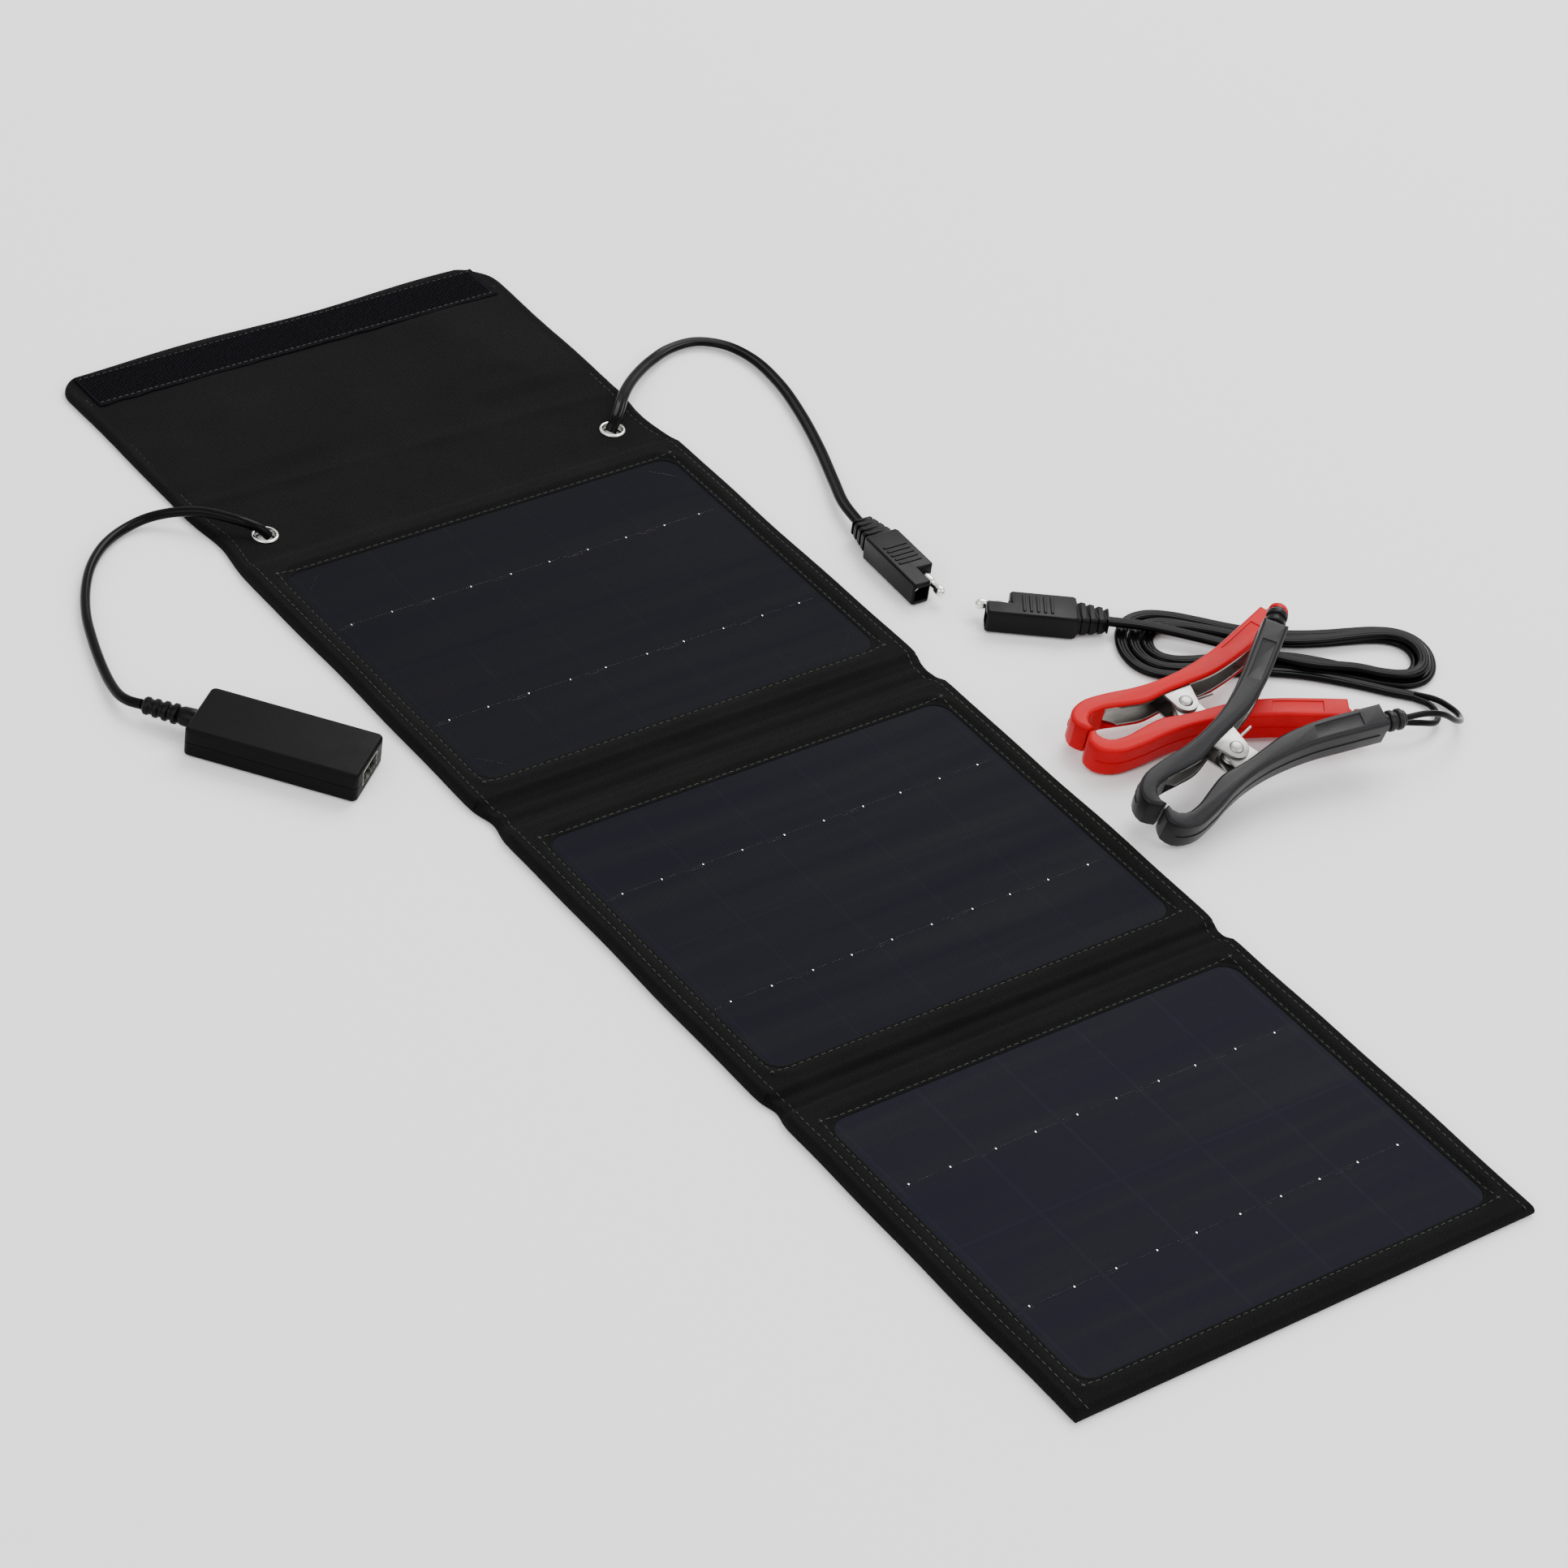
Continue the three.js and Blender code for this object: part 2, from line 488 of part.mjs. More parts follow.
// ---- Loose lead: hank of twin cord, two single wires and two spring clips ------------------------
function addHank() {
  const outline = new THREE.Shape();
  const centre = HANK_HALF_LENGTH - HANK_LOBE;
  const lean = THREE.MathUtils.degToRad(62);
  const neckX = centre - HANK_LOBE * Math.cos(lean);
  outline.moveTo(-neckX, -HANK_LOBE * Math.sin(lean));
  outline.quadraticCurveTo(0, -2 * HANK_WAIST + HANK_LOBE * Math.sin(lean), neckX, -HANK_LOBE * Math.sin(lean));
  outline.absarc(centre, 0, HANK_LOBE, lean - Math.PI, Math.PI - lean, false);
  outline.quadraticCurveTo(0, 2 * HANK_WAIST - HANK_LOBE * Math.sin(lean), -neckX, HANK_LOBE * Math.sin(lean));
  outline.absarc(-centre, 0, HANK_LOBE, lean, 2 * Math.PI - lean, false);
  const mesh = add("lead_hank", plate(outline, 0, HANK_HEIGHT, 1, 5), CORD_BLACK);
  mesh.position.set(...HANK_AT, 0);
  mesh.rotation.z = HANK_YAW;
}

const RED_WIRE = [
  [84.5, 252.6, 2.0], [89.6, 252.4, 1.5], [96.0, 249.8, 1.8], [100.6, 243.6, 3.6], [100.8, 235.0, 6.6],
  [97.5, 226.1, 7.9], [93.5, 219.2, 8.2], [90.5, 214.0, 8.3],
];
const BLACK_WIRE = [
  [84.7, 258.9, 2.0], [90.4, 260.0, 1.5], [98.4, 258.6, 1.9], [105.2, 252.6, 4.8], [108.8, 244.4, 10.0],
  [109.3, 236.2, 15.9], [107.9, 228.2, 18.1], [106.3, 220.4, 18.0], [105.1, 214.5, 17.9],
];

const OUTER_EDGE = [[-42.5, 0.4], [-45.4, 4.4], [-44.0, 9.8], [-37.5, 13.6], [-27.5, 13.8], [-15, 12.4],
  [-4, 12.4], [8, 14.0], [24, 18.4], [40, 24.9], [53, 30.4]];
const INNER_EDGE = [[-39.8, 0.4], [-40.2, 3.6], [-37.4, 6.6], [-31, 7.8], [-23, 6.7], [-14, 5.6],
  [-4, 7.6], [6, 8.2], [17, 8.4], [31, 11.6], [44, 16.2], [57.2, 21.7]];
const EDGE_STEPS = 15;

function edgePoints(points) {
  const curve = new THREE.SplineCurve(points.map(([x, y]) => new THREE.Vector2(x, y)));
  return curve.getSpacedPoints(EDGE_STEPS);
}

// The strip of an arm between two fractions of its width, from one step of its length to another.
function band(from, to, firstStep, lastStep) {
  const outer = edgePoints(OUTER_EDGE).slice(firstStep, lastStep + 1);
  const inner = edgePoints(INNER_EDGE).slice(firstStep, lastStep + 1);
  const near = outer.map((p, i) => p.clone().lerp(inner[i], from));
  const far = outer.map((p, i) => p.clone().lerp(inner[i], to));
  return new THREE.Shape([...far, ...near.reverse()]);
}

function clipBoot(slotHalf, wired) {
  const half = CLIP_THICK / 2;
  const arm = plate(band(0, 1, 0, EDGE_STEPS), -half, half, 1.0);
  const [start, end] = CLIP_RIBBED;
  const profile = [[0, start - 4], [3.3, start - 4]];
  for (let x = start; x < end - 2; x += 3.6) {
    profile.push([3.1, x], [4.0, x + 0.5], [4.0, x + 2.1], [3.1, x + 2.6]);
  }
  profile.push([3.1, end - 0.3], [2.6, end], [0, end]);
  const ribbed = lengthwise(turned(profile, 10)).rotateZ(CLIP_SPREAD);
  const tools = [plate(band(0.24, 1.5, 2, EDGE_STEPS - 1), -slotHalf, slotHalf)];
  if (wired) {
    const bore = lengthwise(turned([[0, end - 8], [1.6, end - 8], [1.6, end + 1], [0, end + 1]], 10));
    tools.push(bore.rotateZ(CLIP_SPREAD));
  }
  return cut(join(arm, ribbed), ...tools);
}

function clipJaw(outerHalf) {
  const cheek = new THREE.Shape();
  cheek.moveTo(-7.5, 9.4);
  cheek.lineTo(-5.5, 0);
  cheek.absarc(0, 0, 5.5, Math.PI, 2 * Math.PI, false);
  cheek.lineTo(7.5, 9.4);
  cheek.closePath();
  const pieces = [plate(band(0.3, 0.96, 3, EDGE_STEPS - 2), -outerHalf, outerHalf),
    plate(cheek, -outerHalf, outerHalf, 0, 6)];
  const innerHalf = outerHalf - STEEL;
  const tools = [plate(band(0.46, 1.8, 2, EDGE_STEPS - 1), -innerHalf, innerHalf),
    block(-7.2, 7.2, -7, 9.6, -innerHalf, innerHalf),
    upright(turned([[0, -8], [2.2, -8], [2.2, 8], [0, 8]], 12))];
  return cut(join(...pieces), ...tools);
}

function clipSpring() {
  const wire = 0.6;
  const coil = ring(2.6, 4.1, -1.8, 1.8, 14);
  const upperLeg = block(0, 15, 2.9, 2.9 + 2 * wire, -wire, wire);
  const lowerLeg = block(0, 16, -2.9 - 2 * wire, -2.9, -wire, wire).rotateZ(-CLIP_SPREAD * 0.8);
  return surface(cut(join(coil, upperLeg, lowerLeg), upright(turned([[0, -2], [2.6, -2], [2.6, 2], [0, 2]], 14))));
}

function clipRivet() {
  const stop = JAW_OUTER[0] + GAP;
  const head = stop + 0.9;
  return upright(turned([[0, -head], [2.4, -head], [3.2, -head + 0.4], [3.2, -stop], [1.9, -stop],
    [1.9, stop], [3.2, stop], [3.2, head - 0.4], [2.4, head], [0, head]], 10));
}

// The lower half of a clip is the upper half turned over about the clip's length.
const turnedOver = (body) => surface(body).rotateX(Math.PI);

function addClip(color, material, at, turn) {
  const clip = new THREE.Group();
  clip.position.set(...at);
  clip.rotation.set(...turn.map(THREE.MathUtils.degToRad), "ZYX");
  group.add(clip);
  add(`${color}_clip_upper_boot`, surface(clipBoot(CLIP_SLOT, false)), material, clip);
  add(`${color}_clip_lower_boot`, turnedOver(clipBoot(JAW_OUTER[1] + GAP, true)), material, clip);
  add(`${color}_clip_upper_jaw`, surface(clipJaw(JAW_OUTER[0])), STEEL_PLATE, clip);
  add(`${color}_clip_lower_jaw`, turnedOver(clipJaw(JAW_OUTER[1])), STEEL_PLATE, clip);
  add(`${color}_clip_rivet`, clipRivet(), STEEL_PLATE, clip);
  add(`${color}_clip_spring`, clipSpring(), STEEL_PLATE, clip);
}

// ---- Assembly -----------------------------------------------------------------------------------
addPanels();
addFlap();
addLinks();
addEyelets();
addUsbLead();
addPlug("panel", PANEL_PLUG_AT, PANEL_PLUG_YAW, false);
add("plug_cord", tube(PLUG_CORD, TWIN_RADIUS), CORD_BLACK);
addPlug("lead", LEAD_PLUG_AT, LEAD_PLUG_YAW, true);
addHank();
add("red_clip_wire", tube(RED_WIRE, WIRE_RADIUS, 0.25), CORD_BLACK);
add("black_clip_wire", tube(BLACK_WIRE, WIRE_RADIUS, 0.25), CORD_BLACK);
addClip("red", RED_PLASTIC, RED_CLIP_AT, RED_CLIP_TURN);
addClip("black", BLACK_PLASTIC, BLACK_CLIP_AT, BLACK_CLIP_TURN);

export default group;
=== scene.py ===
"""Folding fabric solar charger: the looks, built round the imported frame.

Every length in this file is in millimetres, in the frame's axes: +X along the strip from the closing
flap to the last panel, +Y across it, +Z up. Meshes are scaled to metres when they are finished.
"""

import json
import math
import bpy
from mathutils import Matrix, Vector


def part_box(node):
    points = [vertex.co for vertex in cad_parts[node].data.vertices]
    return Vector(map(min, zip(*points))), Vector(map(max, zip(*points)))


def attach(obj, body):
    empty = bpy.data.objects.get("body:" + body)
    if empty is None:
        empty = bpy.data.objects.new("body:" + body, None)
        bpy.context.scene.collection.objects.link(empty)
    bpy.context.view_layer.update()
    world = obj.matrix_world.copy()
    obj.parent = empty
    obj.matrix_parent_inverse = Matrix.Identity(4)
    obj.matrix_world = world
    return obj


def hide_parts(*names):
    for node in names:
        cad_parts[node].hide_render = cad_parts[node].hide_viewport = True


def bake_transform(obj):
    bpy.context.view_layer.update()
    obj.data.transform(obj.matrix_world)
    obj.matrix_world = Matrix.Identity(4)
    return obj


bl_info = {
    "name": "Folding Solar Charger",
    "version": (1, 0, 0),
    "blender": (4, 5, 0),
    "location": "View3D > Sidebar > Solar Charger",
    "description": "Builds the cloth, laminates, leads and clips of a folding solar charger",
    "category": "Object",
}

import bmesh
import bpy
import numpy as np
from mathutils import Matrix, Vector, noise

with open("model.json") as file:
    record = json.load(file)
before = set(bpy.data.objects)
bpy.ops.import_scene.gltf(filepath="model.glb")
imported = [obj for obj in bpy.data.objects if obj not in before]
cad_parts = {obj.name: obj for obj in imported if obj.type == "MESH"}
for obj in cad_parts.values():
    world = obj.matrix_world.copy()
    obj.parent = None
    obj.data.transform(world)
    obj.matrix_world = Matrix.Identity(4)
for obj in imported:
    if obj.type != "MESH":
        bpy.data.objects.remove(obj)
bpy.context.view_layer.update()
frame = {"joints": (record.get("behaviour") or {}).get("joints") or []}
MM = 0.001


# ---- Places, read from the frame ----------------------------------------------------------------
def node_box(node):
    low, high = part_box(node)
    return np.array(low) / MM, np.array(high) / MM


def joint_place(name):
    joint = next(j for j in frame["joints"] if j["name"] == name)
    return np.array(joint["pos_m"]) / MM


LEDGE = 5.5  # how far each laminate runs under the cloth
WINDOW_RADIUS = 7.0
HALF_WIDTH = node_box("panel_1_back_cover")[1][1]
FLAP_END = node_box("flap_back_cover")[0][0]
STRIP_END = node_box("panel_3_back_cover")[1][0]
FOLD_12 = joint_place("fold_12")[0]
FOLD_23 = joint_place("fold_23")[0]
FOLD_FLAP = joint_place("flap_fold")[0]


def window_of(number):
    low, high = node_box(f"panel_{number}_front_sheet")
    return low[0] + LEDGE, high[0] - LEDGE, high[1] - LEDGE


WINDOWS = {number: window_of(number) for number in (1, 2, 3)}
HEM_ALONG = 10.0
CELL_PITCH = 33.25
RIBBON_LINES = (35.8, 98.9)  # from the start of each window
SOLDER_PITCH = 17.1
SOLDER_START = -78.6
SOLDER_DOTS = 10
ON_SHEET = 0.01  # how far a mark stands above the laminate
PANEL_EDGES = {n: (w[0] - HEM_ALONG, w[1] + HEM_ALONG) for n, w in WINDOWS.items()}
SHEET_TOP = node_box("panel_1_front_sheet")[1][2]
SOFT_TOP = 2.7  # of the spines and the flap
BACK_TOP = 0.8
EDGE_FOOT = 1.1  # where the front cloth's rolled edge comes down to
PRESSED = 2.75  # the cloth's height where an eyelet or the hook tape holds it flat
EYELET_CUT = 4.3
LOOP_LOW, LOOP_HIGH = node_box("loop_strip")

# Where one piece of cloth ends and the next begins, and where each fold's bend starts and ends.
SEAM_FLAP = -200.0
SEAM_12 = PANEL_EDGES[1][1] - 0.8
SEAM_23 = PANEL_EDGES[2][1] - 0.8
BEND_FLAP = (FOLD_FLAP + 9, FOLD_FLAP - 15)
BEND_12 = (PANEL_EDGES[1][1], PANEL_EDGES[2][0])
BEND_23 = (PANEL_EDGES[2][1], PANEL_EDGES[3][0])


# ---- Settings a user may change -----------------------------------------------------------------
class ClothSettings(bpy.types.PropertyGroup):
    colour: bpy.props.FloatVectorProperty(
        name="Cloth colour", description="Colour of the woven cover", subtype="COLOR",
        size=3, min=0, max=1, default=(0.0046, 0.0054, 0.0046))
    thread_pitch: bpy.props.FloatProperty(
        name="Thread pitch", description="Distance between threads of the weave, in millimetres",
        default=0.9, min=0.2, max=3)
    stitch_pitch: bpy.props.FloatProperty(
        name="Stitch pitch", description="Distance between stitches, in millimetres",
        default=3.0, min=1, max=8)


class LaminateSettings(bpy.types.PropertyGroup):
    colour: bpy.props.FloatVectorProperty(
        name="Laminate colour", description="Colour of the textured laminate over the cells",
        subtype="COLOR", size=3, min=0, max=1, default=(0.0034, 0.0034, 0.0066))
    roughness: bpy.props.FloatProperty(
        name="Laminate roughness", description="Roughness of the textured laminate",
        default=0.5, min=0, max=1, subtype="FACTOR")


class LeadSettings(bpy.types.PropertyGroup):
    sheath: bpy.props.FloatVectorProperty(
        name="Sheath colour", description="Colour of the vinyl sheath", subtype="COLOR",
        size=3, min=0, max=1, default=(0.0025, 0.0025, 0.0028))
    red: bpy.props.FloatVectorProperty(
        name="Red boot colour", description="Colour of the positive clip's boots",
        subtype="COLOR", size=3, min=0, max=1, default=(0.44, 0.001, 0.006))
    black: bpy.props.FloatVectorProperty(
        name="Black boot colour", description="Colour of the negative clip's boots",
        subtype="COLOR", size=3, min=0, max=1, default=(0.0075, 0.0075, 0.0085))


class StageSettings(bpy.types.PropertyGroup):
    floor: bpy.props.FloatProperty(
        name="Floor brightness", description="Brightness of the plain floor",
        default=0.9, min=0, max=1, subtype="FACTOR")
    light: bpy.props.FloatProperty(
        name="Light strength", description="Scales every lamp", default=1.5, min=0)


SETTINGS = {"cloth": ClothSettings, "laminate": LaminateSettings, "lead": LeadSettings,
            "stage": StageSettings}


def settings(kind):
    return getattr(bpy.context.scene, f"charger_{kind}")


# ---- Node helpers -------------------------------------------------------------------------------
class Nodes:
    """Adds and links the nodes of one tree."""

    def __init__(self, tree):
        self.tree = tree

    def add(self, kind, inputs=None, **attributes):
        node = self.tree.nodes.new(kind)
        for key, value in attributes.items():
            setattr(node, key, value)
        for key, value in (inputs or {}).items():
            socket = node.inputs[key]
            if isinstance(value, bpy.types.NodeSocket):
                self.tree.links.new(value, socket)
            else:
                socket.default_value = value
        return node

    def math(self, operation, *values):
        return self.add("ShaderNodeMath", dict(enumerate(values)), operation=operation).outputs[0]


def shader_group(name, inputs, outputs):
    tree = bpy.data.node_groups.new(name, "ShaderNodeTree")
    for label, kind, default in inputs:
        socket = tree.interface.new_socket(label, in_out="INPUT", socket_type=kind)
        if default is not None:
            socket.default_value = default
    for label, kind in outputs:
        tree.interface.new_socket(label, in_out="OUTPUT", socket_type=kind)
    nodes = Nodes(tree)
    return tree, nodes, nodes.add("NodeGroupInput"), nodes.add("NodeGroupOutput")


def woven_group():
    """Crossing threads in the plane of the strip: their height and a slow change of tone."""
    tree, nodes, start, end = shader_group(
        "woven threads",
        [("Vector", "NodeSocketVector", None), ("Pitch", "NodeSocketFloat", 0.9)],
        [("Height", "NodeSocketFloat"), ("Tone", "NodeSocketFloat")])
    parts = nodes.add("ShaderNodeSeparateXYZ", {0: start.outputs["Vector"]})
    rate = nodes.math("DIVIDE", 2 * math.pi / MM, start.outputs["Pitch"])
    wander = nodes.add("ShaderNodeTexNoise", {
        "Vector": start.outputs["Vector"], "Scale": 260.0, "Detail": 2.0}).outputs["Fac"]
    shift = nodes.math("MULTIPLY", wander, 1.4)
    warp = nodes.math("SINE", nodes.math("ADD", nodes.math("MULTIPLY", parts.outputs[0], rate), shift))
    weft = nodes.math("SINE", nodes.math("ADD", nodes.math("MULTIPLY", parts.outputs[1], rate), shift))
    crossing = nodes.math("MULTIPLY", warp, weft)
    fuzz = nodes.add("ShaderNodeTexNoise", {
        "Vector": start.outputs["Vector"], "Scale": 1700.0, "Detail": 3.0}).outputs["Fac"]
    height = nodes.math("ADD", nodes.math("MULTIPLY", crossing, 0.5), fuzz)
    slow = nodes.add("ShaderNodeTexNoise", {
        "Vector": start.outputs["Vector"], "Scale": 32.0, "Detail": 5.0}).outputs["Fac"]
    tone = nodes.math("ADD", nodes.math("MULTIPLY", slow, 0.3), nodes.math("MULTIPLY", height, 0.45))
    nodes.tree.links.new(height, end.inputs["Height"])
    nodes.tree.links.new(tone, end.inputs["Tone"])
    return tree


def grain_group():
    """Fine moulded grain with a few soft scuffs; on the thread the same noise lays out painted highlights."""
    tree, nodes, start, end = shader_group(
        "moulded grain",
        [("Vector", "NodeSocketVector", None), ("Grain", "NodeSocketFloat", 1500.0),
         ("ScuffAndGlintScale", "NodeSocketFloat", 60.0)],
        [("Height", "NodeSocketFloat"), ("ScuffAndGlint", "NodeSocketFloat")])
    fine = nodes.add("ShaderNodeTexNoise", {
        "Vector": start.outputs["Vector"], "Scale": start.outputs["Grain"], "Detail": 4.0})
    broad = nodes.add("ShaderNodeTexNoise", {
        "Vector": start.outputs["Vector"], "Scale": start.outputs["ScuffAndGlintScale"], "Detail": 6.0,
        "Roughness": 0.65})
    nodes.tree.links.new(fine.outputs["Fac"], end.inputs["Height"])
    nodes.tree.links.new(broad.outputs["Fac"], end.inputs["ScuffAndGlint"])
    return tree


def streak_group():
    """Long streaks along one axis, for laminates and rolled metal."""
    tree, nodes, start, end = shader_group(
        "long streaks",
        [("Vector", "NodeSocketVector", None), ("Stretch", "NodeSocketVector", (40, 2, 40))],
        [("Streak", "NodeSocketFloat")])
    scaled = nodes.add("ShaderNodeVectorMath", {
        0: start.outputs["Vector"], 1: start.outputs["Stretch"]}, operation="MULTIPLY")
    streak = nodes.add("ShaderNodeTexNoise", {"Vector": scaled.outputs[0], "Scale": 1.0, "Detail": 4.0})
    nodes.tree.links.new(streak.outputs["Fac"], end.inputs["Streak"])
    return tree


GROUPS = {}


def group(name):
    makers = {"woven": woven_group, "grain": grain_group, "streak": streak_group}
    if name not in GROUPS:
        GROUPS[name] = makers[name]()
    return GROUPS[name]


def pattern(nodes, name, place):
    """One of the groups above, laid out in the piece's own space."""
    return nodes.add("ShaderNodeGroup", {"Vector": place}, node_tree=group(name))


def new_material(name, roughness, metallic=0.0, **plain):
    material = bpy.data.materials.new(name)
    material.use_nodes = True
    shader = material.node_tree.nodes["Principled BSDF"]
    shader.inputs["Roughness"].default_value = roughness
    shader.inputs["Metallic"].default_value = metallic
    for key, value in plain.items():
        shader.inputs[key.replace("_", " ")].default_value = value
    nodes = Nodes(material.node_tree)
    place = nodes.add("ShaderNodeTexCoord").outputs["Object"]
    return material, nodes, shader, place


def shades(nodes, shader, mask, dark, light):
    """Base colour between two tones, by a mask."""
    mix = nodes.add("ShaderNodeMix", {0: mask}, data_type="RGBA")
    mix.inputs[6].default_value = (*dark, 1)
    mix.inputs[7].default_value = (*light, 1)
    nodes.tree.links.new(mix.outputs[2], shader.inputs["Base Color"])


def spread(nodes, mask, low, high, from_low=0.3, from_high=0.7):
    """A mask stretched to run between two values."""
    return nodes.add("ShaderNodeMapRange", {
        "Value": mask, "From Min": from_low, "From Max": from_high,
        "To Min": low, "To Max": high}).outputs["Result"]


def relief(nodes, shader, height, depth, strength=1.0):
    bump = nodes.add("ShaderNodeBump", {"Height": height, "Distance": depth * MM, "Strength": strength})
    nodes.tree.links.new(bump.outputs["Normal"], shader.inputs["Normal"])


def tint(colour, factor):
    return tuple(min(1.0, c * factor) for c in colour)


# ---- Materials ----------------------------------------------------------------------------------
def cloth_material():
    made = settings("cloth")
    material, nodes, shader, place = new_material("black oxford cloth", 0.75, Sheen_Weight=0.01,
                                                  Sheen_Roughness=0.4, Specular_IOR_Level=0.05)
    weave = pattern(nodes, "woven", place)
    weave.inputs["Pitch"].default_value = made.thread_pitch
    tone = spread(nodes, weave.outputs["Tone"], 0.0, 1.0, 0.3, 0.85)
    shades(nodes, shader, tone, tint(made.colour, 0.3), tint(made.colour, 1.9))
    relief(nodes, shader, weave.outputs["Height"], 0.22)
    return material


def tape_material(name, colour):
    material, nodes, shader, place = new_material(name, 0.8, Specular_IOR_Level=0.05)
    grain = pattern(nodes, "grain", place)
    grain.inputs["Grain"].default_value = 900
    shades(nodes, shader, spread(nodes, grain.outputs["Height"], 0, 1), tint(colour, 0.5), tint(colour, 1.8))
    relief(nodes, shader, grain.outputs["Height"], 0.35)
    return material


def thread_material():
    material, nodes, shader, place = new_material("waxed thread", 0.55)
    grain = pattern(nodes, "grain", place)
    # The lighter thread tone is painted highlight, the glints along the stitches, laid out by the scuff
    # noise; the dark tone is the thread's own colour.
    shades(nodes, shader, grain.outputs["ScuffAndGlint"], (0.004, 0.0045, 0.004), (0.05, 0.05, 0.042))
    return material


def laminate_material(number):
    """Matt textured laminate; the gaps between the cells show through it faintly."""
    made = settings("laminate")
    # Each panel's copy of the laminate is painted its own brightness, panel 1 darkest and panel 3 lightest:
    # painted light, for how the light falls on each panel.
    tone = {1: 0.8, 2: 1.0, 3: 1.35}[number]
    colour = tint(made.colour, tone)
    material, nodes, shader, place = new_material(
        f"textured laminate {number}", made.roughness, Specular_IOR_Level=0.03)
    streak = pattern(nodes, "streak", place)
    streak.inputs["Stretch"].default_value = (95.0, 5.0, 1.0)
    weave = pattern(nodes, "woven", place)
    weave.inputs["Pitch"].default_value = 1.1
    parts = nodes.add("ShaderNodeSeparateXYZ", {0: place})
    window = WINDOWS[number]
    middle = (window[0] + window[1]) / 2 * MM
    across = nodes.math("ABSOLUTE", nodes.math("SUBTRACT", nodes.math("MODULO", nodes.math(
        "ADD", parts.outputs[1], CELL_PITCH * MM * 100), CELL_PITCH * MM), CELL_PITCH * MM / 2))
    row_gap = nodes.math("LESS_THAN", nodes.math("ABSOLUTE", nodes.math(
        "SUBTRACT", parts.outputs[0], middle)), 0.6 * MM)
    cell_gap = nodes.math("LESS_THAN", across, 0.7 * MM)
    gaps = nodes.math("MAXIMUM", row_gap, cell_gap)
    tone_mask = nodes.math("ADD", spread(nodes, streak.outputs["Streak"], 0.0, 0.8),
                           nodes.math("MULTIPLY", gaps, 0.35))
    shades(nodes, shader, tone_mask, tint(colour, 0.72), tint(colour, 1.35))
    nodes.tree.links.new(spread(nodes, streak.outputs["Streak"], made.roughness - 0.08,
                                made.roughness + 0.1), shader.inputs["Roughness"])
    relief(nodes, shader, weave.outputs["Height"], 0.035)
    return material


def metal_material(name, colour, roughness, streaks):
    material, nodes, shader, place = new_material(name, roughness, metallic=1.0)
    streak = pattern(nodes, "streak", place)
    streak.inputs["Stretch"].default_value = streaks
    shades(nodes, shader, streak.outputs["Streak"], tint(colour, 0.75), tint(colour, 1.1))
    nodes.tree.links.new(spread(nodes, streak.outputs["Streak"], roughness * 0.7, roughness * 1.4),
                         shader.inputs["Roughness"])
    relief(nodes, shader, streak.outputs["Streak"], 0.006)
    return material


def moulded_material(name, colour, roughness, grain_size, depth, contrast=1.35, **plain):
    material, nodes, shader, place = new_material(name, roughness, **plain)
    grain = pattern(nodes, "grain", place)
    grain.inputs["Grain"].default_value = grain_size
    shades(nodes, shader, spread(nodes, grain.outputs["ScuffAndGlint"], 0, 1),
           tint(colour, 1 / contrast), tint(colour, contrast))
    nodes.tree.links.new(spread(nodes, grain.outputs["ScuffAndGlint"], roughness * 0.8, roughness * 1.25),
                         shader.inputs["Roughness"])
    relief(nodes, shader, grain.outputs["Height"], depth)
    return material


def paints():
    """Every material, made once."""
    lead = settings("lead")
    made = {
        "cloth": cloth_material(),
        "hooks": tape_material("hook tape", (0.0022, 0.0021, 0.0032)),
        "loops": tape_material("loop tape", (0.005, 0.005, 0.006)),
        "thread": thread_material(),
        "ribbon": metal_material("tinned ribbon", (0.50, 0.48, 0.46), 0.45, (300, 300, 300)),
        "solder": metal_material("solder", (0.95, 0.93, 0.86), 0.25, (500, 500, 500)),
        "nickel": metal_material("nickel plate", (0.86, 0.85, 0.80), 0.2, (120, 900, 120)),
        "steel": metal_material("plated steel", (0.36, 0.355, 0.34), 0.3, (220, 90, 220)),
        "copper": metal_material("tinned copper foil", (0.62, 0.5, 0.36), 0.4, (60, 700, 60)),
        "box": moulded_material("fine-grained black plastic", (0.0026, 0.0026, 0.0029), 0.45, 1700, 0.05,
                                Specular_IOR_Level=0.05),
        "plug": moulded_material("satin black vinyl", (0.0024, 0.0025, 0.0027), 0.34, 1300, 0.03,
                                 Specular_IOR_Level=0.09),
        "sheath": moulded_material("glossy black sheath", lead.sheath, 0.18, 700, 0.01,
                                   Specular_IOR_Level=0.06),
        "red": moulded_material("red vinyl boot", lead.red, 0.34, 1200, 0.02, 1.12, Specular_IOR_Level=0.07),
        "black": moulded_material("black vinyl boot", lead.black, 0.36, 1200, 0.03, 1.3,
                                  Specular_IOR_Level=0.15),
        "board": moulded_material("glass-fibre board", (0.05, 0.06, 0.04), 0.6, 1000, 0.03),
        "silicon": moulded_material("silicon cell", (0.008, 0.008, 0.016), 0.3, 2500, 0.01),
        "circuit": moulded_material("green circuit board", (0.01, 0.06, 0.025), 0.4, 900, 0.02),
    }
    for number in WINDOWS:
        made[f"laminate_{number}"] = laminate_material(number)
    return made


PAINT = {}


